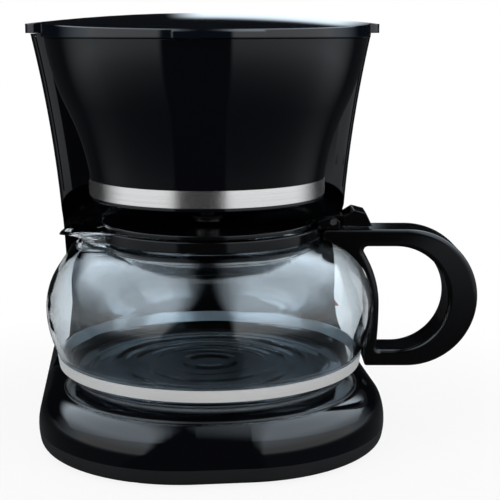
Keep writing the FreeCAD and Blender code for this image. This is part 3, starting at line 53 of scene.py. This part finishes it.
class Tone:
    """A shader socket that Python arithmetic can use; each operator adds a Math node."""

    def __init__(self, socket):
        self.socket = socket

    def node(self, kind, settings=None, sockets=None, out=0):
        """Adds a node with its settings, then its sockets' values or links; a list goes into one socket."""
        tree = self.socket.id_data
        made = tree.nodes.new(kind if kind.startswith("GeometryNode") else "ShaderNode" + kind)
        for name, value in (settings or {}).items():
            setattr(made, name, value)
        for name, value in (sockets or {}).items():
            for part in value if isinstance(value, list) else [value]:
                if isinstance(part, Tone):
                    tree.links.new(part.socket, made.inputs[name])
                else:
                    made.inputs[name].default_value = part
        return Tone(made.outputs[out])

    def math(self, operation, *values):
        return self.node("Math", {"operation": operation}, dict(enumerate((self, *values))))

    def __add__(self, other):
        return self.math("ADD", other)

    def __mul__(self, other):
        return self.math("MULTIPLY", other)

    def __sub__(self, other):
        return self.math("SUBTRACT", other)

    def __truediv__(self, other):
        return self.math("DIVIDE", other)

    def __rsub__(self, other):
        return self.node("Math", {"operation": "SUBTRACT"}, {0: other, 1: self})

    __radd__ = __add__
    __rmul__ = __mul__

    def between(self, low, high):
        """0 below low, 1 above high, smooth between them."""
        return self.node("MapRange", {"interpolation_type": "SMOOTHSTEP"},
                         {"Value": self, "From Min": low, "From Max": high})

    def near(self, middle, width):
        """1 at the middle value, down to 0 at a width from it."""
        return 1 - (self - middle).math("ABSOLUTE").between(0, width)

    def axis(self, name):
        return self.node("SeparateXYZ", {}, {0: self}, "XYZ".index(name))

    def moved(self, place=(0, 0, 0), scale=(1, 1, 1)):
        """These coordinates from another point, in another scale."""
        shift = tuple(-p * s for p, s in zip(place, scale))
        return self.node("Mapping", {}, {"Vector": self, "Location": shift, "Scale": scale})

    def noise(self, scale, detail=2, rough=0.5):
        sockets = {"Vector": self, "Scale": scale, "Detail": detail, "Roughness": rough}
        return self.node("TexNoise", {}, sockets)

    def cells(self, scale):
        """Distance to the nearest of many scattered points."""
        return self.node("TexVoronoi", {}, {"Vector": self, "Scale": scale}, "Distance")

    def lines(self, scale, width):
        """Fine curved hairlines, 1 on each line."""
        return self.noise(scale, 1).near(0.5, width)

    def bump(self, depth, under=None):
        """A normal from this height, 1 of which stands out by the depth in metres."""
        sockets = {"Height": self, "Distance": depth}
        if under:
            sockets["Normal"] = under
        return self.node("Bump", {}, sockets)


def tint(mask, low, high):
    """Colour that goes from low to high with the mask."""
    return mask.node("Mix", {"data_type": "RGBA"}, {0: mask, 6: (*low, 1), 7: (*high, 1)}, 2)


def finish(name, paint, **fixed):
    """A material with some fixed sockets, and what paint makes of the object's coordinates for others."""
    material = bpy.data.materials.new(name)
    material.use_nodes = True
    tree = material.node_tree
    shader = tree.nodes["Principled BSDF"]
    at = Tone(tree.nodes.new("ShaderNodeTexCoord").outputs["Object"])
    for socket, value in fixed.items():
        shader.inputs[socket.replace("_", " ")].default_value = value
    for socket, tone in paint(at).items():
        tree.links.new(tone.socket, shader.inputs[socket])
    return material


# Finishes

def gloss_moulding(shade, sheen, edge):
    """Polished black plastic with soft edges, handling film, hairlines and a little dust."""
    def paint(at):
        film = at.noise(26, 4, 0.62).between(0.35, 0.75)
        scuffs = at.lines(75, 0.004) * at.noise(30).between(0.55, 0.75)
        dust = 1 - at.cells(420).between(0.04, 0.12)
        dust = dust * at.noise(60).between(0.58, 0.7)
        edges = at.node("Bevel", {"samples": 6}, {"Radius": edge})
        peel = at.noise(600, 1).bump(0.000002, at.noise(16, 1).bump(0.00025, edges))
        return {"Base Color": tint(0.08 * dust + 0.03 * scuffs, shade, (0.10, 0.10, 0.105)),
                "Roughness": sheen + 0.03 * film + 0.06 * scuffs + 0.15 * dust,
                "Normal": peel}
    return paint


def matt_moulding(shade, grain, depth):
    """Spark-eroded plastic: a fine even grain, rubbed smoother in patches."""
    def paint(at):
        rubbed = at.noise(40, 3).between(0.45, 0.75)
        pits = at.noise(grain, 2, 0.7)
        pale = tuple(1.7 * c + 0.01 for c in shade)
        return {"Base Color": tint(0.3 * pits + 0.25 * rubbed, shade, pale),
                "Roughness": 0.55 - 0.14 * rubbed + 0.1 * pits,
                "Normal": pits.bump(depth)}
    return paint


def brushed_round(centre, shade, rough, depth):
    """Steel brushed round an upright axis, with long streaks and a few deeper ones."""
    def paint(at):
        around = at.moved(centre, (9, 9, 5200))
        streaks = around.noise(1, 5, 0.7)
        deep = at.moved(centre, (16, 16, 2600)).noise(1, 2).between(0.62, 0.78)
        haze = at.noise(45, 3).between(0.3, 0.8)
        return {"Base Color": tint(0.55 * streaks + 0.25 * deep, shade, tuple(0.55 * c for c in shade)),
                "Roughness": rough + 0.12 * streaks + 0.05 * haze,
                "Normal": (streaks - 0.4 * deep).bump(depth)}
    return paint


def bare_metal(shade, grain, rough, depth):
    """Plain metal with drawn grain and faint stains."""
    def paint(at):
        grains = at.moved((0, 0, 0), (grain, grain, grain / 6)).noise(1, 3, 0.6)
        stain = at.noise(70, 4, 0.6).between(0.5, 0.8)
        dark = tuple(0.55 * c for c in shade)
        return {"Base Color": tint(0.35 * stain + 0.25 * grains, shade, dark),
                "Roughness": rough + 0.14 * grains + 0.1 * stain,
                "Normal": grains.bump(depth)}
    return paint


def blown_glass(at):
    """Clear glass with the slow waves of blowing and faint wiping marks."""
    waves = at.moved(tuple(AXIS), (1, 1, 2.2)).noise(17, 2, 0.45)
    wiped = at.noise(38, 3).between(0.62, 0.85)
    return {"Roughness": 0.03 * wiped,
            "Normal": waves.bump(0.0009)}


def coated_plate(at):
    """Non-stick coating on the warming plate, with flecks and burnt patches; its grey is partly the coat's
    own and partly painted light, lighter than the coat to stand in for light the carafe glass keeps off the
    plate.
    """
    fleck = at.noise(1500, 2, 0.7)
    burnt = at.noise(55, 4, 0.65).between(0.52, 0.72)
    # Painted light: the grey 0.15 is lighter than the coat's own dark grey, to stand in for light the carafe
    # glass keeps off the plate; the burnt patches are real stains.
    return {"Base Color": tint(0.6 * burnt + 0.3 * fleck, (0.15, 0.155, 0.165), (0.06, 0.058, 0.056)),
            "Roughness": 0.3 + 0.2 * fleck + 0.15 * burnt,
            "Normal": fleck.bump(0.00002)}


def soft_rubber(shade):
    """Silicone or rubber with a bloom and moulding specks."""
    def paint(at):
        bloom = at.noise(55, 4, 0.6).between(0.4, 0.8)
        grain = at.noise(1800, 2)
        pale = tuple(min(1, 1.35 * c + 0.015) for c in shade)
        return {"Base Color": tint(0.55 * bloom + 0.2 * grain, shade, pale),
                "Roughness": 0.58 + 0.2 * bloom,
                "Normal": grain.bump(0.00003)}
    return paint


def red_lens(at):
    """Translucent red plastic, cloudy and finely scratched."""
    scuffs = at.lines(260, 0.02)
    cloud = at.noise(180, 2).between(0.3, 0.8)
    return {"Base Color": tint(0.6 * cloud + 0.3 * scuffs, (0.62, 0.012, 0.02), (0.85, 0.06, 0.07)),
            "Roughness": 0.12 + 0.2 * scuffs + 0.05 * cloud}


def sleeve_braid(at):
    """Glass-fibre sleeve with a braided surface."""
    fine = at.moved((0, 0, 0), (900, 2600, 2600))
    over = fine.node("TexWave", {"bands_direction": "DIAGONAL"}, {"Scale": 1.0}, 1)
    return {"Base Color": tint(over, (0.72, 0.68, 0.58), (0.9, 0.88, 0.82)),
            "Roughness": 0.75 + 0.1 * over,
            "Normal": over.bump(0.0002)}


black_gloss = finish("black_gloss", gloss_moulding((0.0018, 0.002, 0.003), 0.035, 0.0007),
                     Specular_IOR_Level=0.33)
lid_gloss = finish("lid_gloss", gloss_moulding((0.002, 0.003, 0.006), 0.045, 0.0009))
handle_gloss = finish("handle_gloss", gloss_moulding((0.0022, 0.0022, 0.0026), 0.09, 0.0007),
                      Specular_IOR_Level=0.22)
inner_plastic = finish("inner_plastic", matt_moulding((0.012, 0.012, 0.013), 1600, 0.00003))
black_matt = finish("black_matt", matt_moulding((0.005, 0.005, 0.0055), 2100, 0.00004),
                    Specular_IOR_Level=0.2)
pale_plastic = finish("pale_plastic", matt_moulding((0.62, 0.61, 0.58), 1500, 0.00002))
band_steel = finish("band_steel", brushed_round(tuple(BOWL), (0.83, 0.785, 0.755), 0.14, 0.000012),
                    Metallic=1.0)
ring_steel = finish("ring_steel", brushed_round(tuple(AXIS), (0.98, 0.98, 0.97), 0.34, 0.00003),
                    Metallic=0.4)
plain_steel = finish("plain_steel", bare_metal((0.62, 0.615, 0.6), 900, 0.24, 0.00002), Metallic=1.0)
heater_alloy = finish("heater_alloy", bare_metal((0.68, 0.68, 0.69), 700, 0.36, 0.00003), Metallic=1.0)
plate_coat = finish("plate_coat", coated_plate)
rubber = finish("rubber", soft_rubber((0.022, 0.022, 0.022)))
silicone = finish("silicone", soft_rubber((0.66, 0.66, 0.63)), Transmission_Weight=0.15)
rocker_red = finish("rocker_red", red_lens, Transmission_Weight=0.25)
fuse_sleeve = finish("fuse_sleeve", sleeve_braid)
carafe_glass = finish("carafe_glass", blown_glass, Base_Color=(0.82, 0.875, 0.91, 1), Transmission_Weight=1.0,
                      IOR=1.47)

WORN_BY = {
    black_gloss: ("tower_housing", "base_housing", "funnel_housing"),
    lid_gloss: ("top_lid",),
    handle_gloss: ("carafe_collar", "carafe_lid", "carafe_handle", "switch_bezel"),
    inner_plastic: ("filter_basket", "spray_arm", "drip_valve", "carafe_lid_pin"),
    black_matt: ("bottom_cover", "cord_gland"),
    pale_plastic: ("riser_tube", "riser_joint", "check_valve"),
    band_steel: ("steel_band",),
    ring_steel: ("carafe_ring",),
    plain_steel: ("cover_screws", "bracket_screws", "heater_bracket", "hose_clips", "valve_spring",
                  "lid_pins", "ring_screw", "mesh_filter"),
    heater_alloy: ("heater_tube", "thermostat"),
    plate_coat: ("warming_plate",),
    rubber: ("rubber_feet", "plate_seal", "tank_seals"),
    silicone: ("cold_hose", "hot_hose"),
    rocker_red: ("rocker_button",),
    fuse_sleeve: ("thermal_fuse",),
    carafe_glass: ("carafe_glass",),
}
for material, wearers in WORN_BY.items():
    for wearer in wearers:
        mesh = nodes[wearer].data
        mesh.materials.clear()
        mesh.materials.append(material)


# Ways to make a mesh

def shaped(name, grid, material):
    """An object from a bmesh, smooth and with one material."""
    mesh = bpy.data.meshes.new(name)
    grid.to_mesh(mesh)
    grid.free()
    mesh.materials.append(material)
    mesh.polygons.foreach_set("use_smooth", [True] * len(mesh.polygons))
    piece = bpy.data.objects.new(name, mesh)
    bpy.context.scene.collection.objects.link(piece)
    return piece


def grown(name, sizes, shape, material):
    """A mesh from a geometry tree whose sizes are named inputs; shape makes the geometry from them."""
    tree = bpy.data.node_groups.new(name, "GeometryNodeTree")
    sockets = {}
    for size in sizes:
        sockets[size] = tree.interface.new_socket(size, in_out="INPUT", socket_type="NodeSocketFloat")
    tree.interface.new_socket("Geometry", in_out="OUTPUT", socket_type="NodeSocketGeometry")
    inputs = tree.nodes.new("NodeGroupInput")
    made = shape({size: Tone(inputs.outputs[size]) for size in sizes})
    made = made.node("GeometryNodeRealizeInstances", {}, {0: made})
    made = made.node("GeometryNodeSetMaterial", {}, {0: made, "Material": material})
    tree.links.new(made.socket, tree.nodes.new("NodeGroupOutput").inputs[0])
    piece = bpy.data.objects.new(name, bpy.data.meshes.new(name))
    bpy.context.scene.collection.objects.link(piece)
    modifier = piece.modifiers.new(name, "NODES")
    modifier.node_group = tree
    for size, value in sizes.items():
        modifier[sockets[size].identifier] = value
    mesh = bpy.data.meshes.new_from_object(piece.evaluated_get(bpy.context.evaluated_depsgraph_get()))
    piece.modifiers.clear()
    piece.data = mesh
    return piece


def vector(x, y, z):
    """A vector of three parts, at least one of them a tone."""
    made = next(part for part in (x, y, z) if isinstance(part, Tone))
    return made.node("CombineXYZ", {}, {0: x, 1: y, 2: z})


# Carafe glass: lengths in millimetres, arcs in degrees, ripples in radians for each millimetre

CARAFE_TURN = -6
BELLY_R, BELLY_Z = 81.0, 64.0
BELLY_CURVE, BELLY_ARC = 48.0, 28
DOME_CURVE, DOME_ARC = 35.0, 77.7
NECK_R, NECK_Z = 51.1, 102.4
NECK_CURVE, NECK_CURVE_Z = 3.0, 101.13
RIM_Z = 103.5
GLASS_WALL = 2.0
GLASS_LOW = 30.2
FOOT_R, FOOT_CURVE = 66.5, 8.0
INNER_FOOT_R, INNER_FOOT_CURVE = 66.0, 6.4
FOOT_ARC = 13
FLOOR_EDGE = 64
FLOOR_DOME, FLOOR_DOME_R = 0.9, 60.0
RIPPLE_HIGH, RIPPLE_TURN, RIPPLE_FADE = 0.22, 0.62, 40.0
MOULD_RINGS = ((0.5, 12.0), (0.4, 55.0))
MOULD_RING_WIDE = 2.8
LIP_Z, LIP_OUT, LIP_DROP = 82.0, 23.2, 4.2
LIP_CURL, LIP_THINNING = 2.85, 1.3
LIP_HALF = 58
CURVE_STEPS, BELLY_STEPS, DOME_STEPS, ROUND_STEPS = 8, 20, 44, 192


def arc(x, z, radius, first, last, count=CURVE_STEPS):
    """Points along an arc of the section, angles in degrees."""
    angles = [math.radians(first + (last - first) * n / count) for n in range(count + 1)]
    return [(x + radius * math.cos(a), z + radius * math.sin(a)) for a in angles]


def glass_floor(low, rippled):
    """Section of the glass floor from the middle outwards: a shallow dome, with the ripples of the mould."""
    section = []
    for r in range(FLOOR_EDGE):
        z = low + FLOOR_DOME * max(0, 1 - (r / FLOOR_DOME_R) ** 2)
        if rippled:
            z += RIPPLE_HIGH * math.cos(RIPPLE_TURN * r) * min(1, r / RIPPLE_FADE)
            z += sum(high * math.exp(-((r - middle) / MOULD_RING_WIDE) ** 2) for high, middle in MOULD_RINGS)
        section.append((r, z))
    return section


def pulled(points, thinning=0):
    """How far each point of a shoulder moves in the middle of the lip, outwards and upwards."""
    rises = [max(0, z - LIP_Z) / (RIM_Z - LIP_Z) for _, z in points]
    out = [LIP_OUT * t ** LIP_CURL - thinning * t ** 2 for t in rises]
    up = [thinning * t ** 2 - LIP_DROP * t ** 4 for t in rises]
    return list(zip(out, up))


def blown_carafe():
    """Turned glass with a rippled floor, a fire-polished rim and a lip pulled out of the neck."""
    belly_x = BELLY_R - BELLY_CURVE
    dome_x = BELLY_R - DOME_CURVE
    neck_x = NECK_R + NECK_CURVE
    inner_low = GLASS_LOW + GLASS_WALL
    inner_neck = NECK_R - GLASS_WALL
    neck_turn = 180 + DOME_ARC
    outer = (glass_floor(GLASS_LOW, False)
             + arc(FOOT_R, GLASS_LOW + FOOT_CURVE, FOOT_CURVE, -90, -FOOT_ARC)
             + arc(belly_x, BELLY_Z, BELLY_CURVE, -BELLY_ARC, 0, BELLY_STEPS))
    shoulder = (arc(dome_x, BELLY_Z, DOME_CURVE, 0, DOME_ARC, DOME_STEPS)
                + arc(neck_x, NECK_CURVE_Z, NECK_CURVE, neck_turn, 180)
                + [(NECK_R, NECK_Z), (NECK_R, RIM_Z)])
    rim = arc(NECK_R - GLASS_WALL / 2, RIM_Z, GLASS_WALL / 2, 0, 180)
    inner_shoulder = ([(inner_neck, RIM_Z), (inner_neck, NECK_Z)]
                      + arc(neck_x, NECK_CURVE_Z, NECK_CURVE + GLASS_WALL, 180, neck_turn)
                      + arc(dome_x, BELLY_Z, DOME_CURVE - GLASS_WALL, DOME_ARC, 0, DOME_STEPS))
    inner = (arc(belly_x, BELLY_Z, BELLY_CURVE - GLASS_WALL, 0, -BELLY_ARC, BELLY_STEPS)
             + arc(INNER_FOOT_R, inner_low + INNER_FOOT_CURVE, INNER_FOOT_CURVE, -FOOT_ARC, -90)
             + glass_floor(inner_low, True)[::-1])
    section = outer + shoulder + rim + inner_shoulder + inner

    still = (0, 0)
    top, under = pulled(shoulder), pulled(inner_shoulder, LIP_THINNING)
    shares = [n / CURVE_STEPS for n in range(CURVE_STEPS + 1)]
    across = [tuple(a + (b - a) * share for a, b in zip(top[-1], under[0])) for share in shares]
    moves = [still] * len(outer) + top + across + under + [still] * len(inner)

    grid = bmesh.new()
    columns = []
    for n in range(ROUND_STEPS):
        angle = math.tau * n / ROUND_STEPS
        off = (angle - math.pi) / math.radians(LIP_HALF)
        share = math.cos(off * math.pi / 2) ** 3 if abs(off) < 1 else 0
        turn = angle + math.radians(CARAFE_TURN)
        column = []
        for (x, z), (out, lift) in zip(section, moves):
            r = x + share * out
            spot = Vector((r * math.cos(turn), r * math.sin(turn), z + share ** 3 * lift))
            column.append(grid.verts.new(AXIS + spot * MM))
        columns.append(column)
    for left, right in zip(columns, columns[1:] + columns[:1]):
        for n in range(len(section) - 1):
            grid.faces.new((left[n], right[n], right[n + 1], left[n + 1]))
    bmesh.ops.remove_doubles(grid, verts=grid.verts, dist=0.01 * MM)
    bmesh.ops.recalc_face_normals(grid, faces=grid.faces)
    return shaped("blown_carafe", grid, carafe_glass)


glass = blown_carafe()
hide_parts("carafe_glass")
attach(glass, "carafe")


# Woven filter and valve spring

def woven_cone(size):
    """Wires up the wall and across the floor, hoops round both, and a flat rim."""
    wire_sides, round_steps = 4, 120
    hub_share, first_hoop, floor_hoops, lip_share = 0.04, 4, 0.6, 0.24
    any_size = size["wire"]
    index = any_size.node("GeometryNodeInputIndex")
    profile = any_size.node("GeometryNodeCurvePrimitiveCircle", {},
                            {"Resolution": wire_sides, "Radius": size["wire"]})
    hoop = any_size.node("GeometryNodeCurvePrimitiveCircle", {}, {"Resolution": round_steps, "Radius": 1.0})

    def wired(curves):
        whole = curves.node("GeometryNodeRealizeInstances", {}, {0: curves})
        return whole.node("GeometryNodeCurveToMesh", {}, {"Curve": whole, "Profile Curve": profile})

    def spread(count, curve, **settings):
        points = any_size.node("GeometryNodePoints", {}, {"Count": count})
        return wired(points.node("GeometryNodeInstanceOnPoints", {},
                                 {"Points": points, "Instance": curve, **settings}))

    def hoops(count, low, high, low_z, high_z):
        share = index / count
        radius = low + (high - low) * share
        place = vector(0.0, 0.0, low_z + (high_z - low_z) * share)
        points = any_size.node("GeometryNodePoints", {}, {"Count": count, "Position": place})
        return wired(points.node("GeometryNodeInstanceOnPoints", {},
                                 {"Points": points, "Instance": hoop, "Scale": vector(radius, radius, 1.0)}))

    floor, floor_r, rim, rim_r = size["floor"], size["floor radius"], size["rim"], size["rim radius"]
    turned = vector(0.0, 0.0, index * math.tau / size["uprights"])
    foot = vector(floor_r, 0.0, floor)
    head = vector(rim_r, 0.0, rim)
    centre = vector(floor_r * hub_share, 0.0, floor)
    wall = any_size.node("GeometryNodeCurvePrimitiveLine", {}, {"Start": foot, "End": head})
    spoke = any_size.node("GeometryNodeCurvePrimitiveLine", {}, {"Start": centre, "End": foot})
    parts = [spread(size["uprights"], wall, Rotation=turned),
             spread(size["uprights"], spoke, Rotation=turned),
             hoops(size["hoops"], floor_r, rim_r, floor, rim),
             hoops(size["hoops"] * floor_hoops, size["wire"] * first_hoop, floor_r, floor, floor)]
    lip = any_size.node("GeometryNodeCurvePrimitiveCircle", {},
                        {"Resolution": round_steps, "Radius": rim_r + size["lip"] / 2})
    flat = any_size.node("GeometryNodeCurvePrimitiveQuadrilateral", {},
                         {"Width": size["lip"], "Height": size["lip"] * lip_share})
    lip = lip.node("GeometryNodeCurveToMesh", {}, {"Curve": lip, "Profile Curve": flat})
    raised = vector(0.0, 0.0, rim + size["lip"] * (lip_share / 2))
    parts.append(lip.node("GeometryNodeTransform", {}, {0: lip, "Translation": raised}))
    whole = any_size.node("GeometryNodeJoinGeometry", {}, {0: parts})
    return whole.node("GeometryNodeTransform", {}, {0: whole, "Translation": BOWL})


def coil(size):
    """Round wire wound upwards about the valve's stem."""
    turn_steps, wire_sides = 40, 10
    turns = size["wire"].node("GeometryNodeCurveSpiral", {}, {
        "Resolution": turn_steps, "Rotations": size["turns"], "Start Radius": size["radius"],
        "End Radius": size["radius"], "Height": size["length"]})
    section = turns.node("GeometryNodeCurvePrimitiveCircle", {},
                         {"Resolution": wire_sides, "Radius": size["wire"]})
    wire = turns.node("GeometryNodeCurveToMesh", {},
                      {"Curve": turns, "Profile Curve": section, "Fill Caps": True})
    foot = vector(BOWL.x, BOWL.y, size["foot"])
    return wire.node("GeometryNodeTransform", {}, {0: wire, "Translation": foot})


SPRING_SIZES = {"wire": 0.45 * MM, "turns": 3.5, "radius": 6.0 * MM, "length": 6.7 * MM, "foot": 112.25 * MM}
spring_coil = grown("spring_coil", SPRING_SIZES, coil, plain_steel)
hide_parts("valve_spring")
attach(spring_coil, "housing")
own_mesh(spring_coil)

FILTER_SIZES = {"wire": 0.16 * MM, "uprights": 150, "hoops": 60, "floor radius": 35.6 * MM,
                "rim radius": 67.2 * MM, "floor": 132.4 * MM, "rim": 183.0 * MM, "lip": 5.0 * MM}
filter_weave = grown("filter_weave", FILTER_SIZES, woven_cone, plain_steel)
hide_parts("mesh_filter")
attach(filter_weave, "housing")


# Rocker, in millimetres

SWITCH = Vector((73.3, 66.0, 51.5))
ROCKER_TILT = math.radians(-9)


def rocker_lens():
    """Rocker with a dished face whose lower end stands out, rounded at its edges."""
    half, wide, root, taper = 7.0, 4.7, 3.7, 2.0
    crown, lean, dish, face_steps = 4.0, 0.3, 1.4, 12
    edge_round, sharp_angle = 0.6, 0.5
    heights = [half * (2 * n / face_steps - 1) for n in range(face_steps + 1)]
    face = [(crown - lean * z + dish * ((z / half) ** 2 - 1), z) for z in heights]
    section = [(-root, taper - half), *face, (-root, half - taper)]
    grid = bmesh.new()
    near, far = [[grid.verts.new(Vector((x, y, z)) * MM) for x, z in section] for y in (-wide, wide)]
    grid.faces.new(near)
    grid.faces.new(far[::-1])
    for n in range(len(section)):
        grid.faces.new((near[n - 1], far[n - 1], far[n], near[n]))
    bmesh.ops.recalc_face_normals(grid, faces=grid.faces)
    sharp = [edge for edge in grid.edges if edge.calc_face_angle() > sharp_angle]
    bmesh.ops.bevel(grid, geom=sharp, offset=edge_round * MM, segments=3, profile=0.5, affect="EDGES")
    tilted = Matrix.Rotation(ROCKER_TILT, 4, "Y")
    grid.transform(Matrix.Translation(AXIS + SWITCH * MM) @ tilted)
    return shaped("rocker_lens", grid, rocker_red)


lens = rocker_lens()
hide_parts("rocker_button")
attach(lens, "rocker")


# Studio

def ray_kinds(at):
    """1 for rays from the camera, for reflected rays and for refracted ones."""
    camera, glossy, through = [at.node("LightPath", out=f"Is {kind} Ray")
                               for kind in ("Camera", "Glossy", "Transmission")]
    return camera, glossy * (1 - through), through


def tent_wall(across, ahead, up):
    """1 on the lit walls to both sides and overhead, 0 behind and in the slot round the camera."""
    left_edge, left_lean = -0.57, 0.36
    right_edge, right_lean = 0.22, -0.09
    side_end, overhead_end = (1.5, 2.2), (0.85, 1.1)
    blur = 0.03 * (1 + 5 * up)
    left = (across - left_lean * up - left_edge) / blur
    right = (across - right_lean * up - right_edge) / blur
    slot = left.between(-1, 1) * (1 - right.between(-1, 1))
    beside = 1 - across.math("ARCTAN2", ahead).math("ABSOLUTE").between(*side_end)
    overhead = 1 - (0 - ahead).math("ARCTAN2", up).between(*overhead_end)
    return (1 - slot) * beside.math("MAXIMUM", overhead)


def studio_world():
    """White to the camera and through glass; mirrored, a tent with lit walls, dark behind but for a strip."""
    even_light, rear_dusk, front_dusk = 0.55, 0.008, 0.012
    low_glow, high_glow, strip_glow = 1.3, 3.4, 1.5
    white, sky_blue = (1, 1, 1), (0.78, 0.9, 1.0)
    wall_rise, rear_side, rear_top, sky_rise = (0.05, 0.6), (-0.1, 0.1), (0.35, 0.6), (0.02, 0.35)
    strip_left, strip_right, strip_top = (0.03, 0.07), (0.18, 0.22), (0.14, 0.2)
    world = bpy.data.worlds.new("studio")
    world.use_nodes = True
    world.cycles.sampling_method = "NONE"
    bpy.context.scene.world = world
    tree = world.node_tree
    at = Tone(tree.nodes.new("ShaderNodeTexCoord").outputs["Generated"])
    camera, glossy, through = ray_kinds(at)
    across, up = at.axis("X"), at.axis("Z")
    ahead = 0 - at.axis("Y")
    walls = tent_wall(across, ahead, up) * (low_glow + high_glow * up.between(*wall_rise))
    behind = (1 - ahead.between(*rear_side)) * (1 - up.between(*rear_top))
    strip = across.between(*strip_left) * (1 - across.between(*strip_right)) * (1 - up.between(*strip_top))
    mirrored = rear_dusk + front_dusk * (1 - behind) + walls + strip_glow * strip * behind
    seen_through = behind + (1 - behind) * mirrored
    level = even_light * (1 - glossy - through) + mirrored * glossy + seen_through * through
    level = camera + (1 - camera) * level
    background = tree.nodes["Background"]
    cool = glossy * behind + glossy.math("MAXIMUM", through) * up.between(*sky_rise)
    tree.links.new(tint(cool, white, sky_blue).socket, background.inputs["Color"])
    tree.links.new(level.socket, background.inputs["Strength"])


def studio_floor():
    """Paper that takes a faint shadow near the object; mirrored, it is dim nearby and lighter far off."""
    reach, shadow = 12, 0.12
    dusk, near_glow, far_glow = 0.02, 0.0425, 0.9775
    white, pale_blue = (1, 1, 1, 1), (0.88, 0.95, 1, 1)
    far_off, rear_side, shadow_edge = (0.18, 0.8), (-0.15, 0.05), (0.13, 0.28)
    mesh = bpy.data.meshes.new("floor")
    corners = [(-reach, -reach, 0), (reach, -reach, 0), (reach, reach, 0), (-reach, reach, 0)]
    mesh.from_pydata(corners, [], [(0, 1, 2, 3)])
    floor = bpy.data.objects.new("floor", mesh)
    bpy.context.scene.collection.objects.link(floor)
    material = bpy.data.materials.new("floor_paper")
    material.use_nodes = True
    tree = material.node_tree
    paper = tree.nodes["Principled BSDF"]
    at = Tone(tree.nodes.new("ShaderNodeTexCoord").outputs["Object"])
    _, glossy, through = ray_kinds(at)
    fibre = at.noise(900, 2)
    tree.links.new(tint(fibre, (0.93, 0.93, 0.93), (0.95, 0.95, 0.95)).socket, paper.inputs["Base Color"])
    paper.inputs["Roughness"].default_value = 0.8
    paper.inputs["Specular IOR Level"].default_value = 0.0
    around = at.moved(tuple(AXIS))
    away = around.node("VectorMath", {"operation": "LENGTH"}, {0: around}, "Value")
    ahead = 0 - around.axis("Y")
    walls = tent_wall(around.axis("X") / away, ahead / away, 0.0 * away)
    behind = 1 - ahead.between(*rear_side)
    glow = dusk + walls * (near_glow + far_glow * away.between(*far_off))
    lit = at.node("Emission", {}, {"Color": white, "Strength": 1.0})
    mirror = at.node("Emission", {}, {"Color": pale_blue, "Strength": glow})
    whitened = 1 - shadow * (1 - away.between(*shadow_edge))
    shown = at.node("MixShader", {}, {0: whitened, 1: Tone(paper.outputs[0]), 2: lit})
    both = at.node("MixShader", {}, {0: glossy + through * (1 - behind), 1: shown, 2: mirror})
    tree.links.new(both.socket, tree.nodes["Material Output"].inputs["Surface"])
    mesh.materials.append(material)


def softbox(name, place, aim, wide, high, level):
    """Flat lamp of an even radiance, turned to a point."""
    lamp = bpy.data.lights.new(name, "AREA")
    lamp.shape = "RECTANGLE"
    lamp.size, lamp.size_y = wide, high
    lamp.energy = level * math.pi * wide * high
    holder = bpy.data.objects.new(name, lamp)
    holder.location = place
    holder.rotation_mode = "QUATERNION"
    holder.rotation_quaternion = (Vector(aim) - Vector(place)).to_track_quat("-Z", "Y")
    holder.visible_glossy = False
    bpy.context.scene.collection.objects.link(holder)


def studio_camera():
    """A long lens in front of the carafe and a little to its left, looking slightly down."""
    place, look = Vector((-40.0, -574.5, 199.3)), Vector((0.1027, 0.9773, -0.1855))
    camera = bpy.data.cameras.new("camera")
    camera.lens = 84.55
    camera.sensor_width = 36
    holder = bpy.data.objects.new("camera", camera)
    holder.location = AXIS + place * MM
    holder.rotation_mode = "QUATERNION"
    holder.rotation_quaternion = look.to_track_quat("-Z", "Y")
    bpy.context.scene.collection.objects.link(holder)
    bpy.context.scene.camera = holder


bpy.context.scene.view_settings.view_transform = "Standard"
studio_world()
studio_floor()
MIDDLE = (-0.02, 0, 0.1)
LAMP_LEVEL = 0.9
softbox("left_softbox", (-0.85, -0.6, 0.6), MIDDLE, 0.7, 0.9, LAMP_LEVEL)
softbox("right_softbox", (0.7, -0.75, 0.6), MIDDLE, 0.7, 0.9, LAMP_LEVEL)
softbox("top_softbox", (0.0, 0.1, 1.1), MIDDLE, 0.9, 0.7, LAMP_LEVEL)
studio_camera()
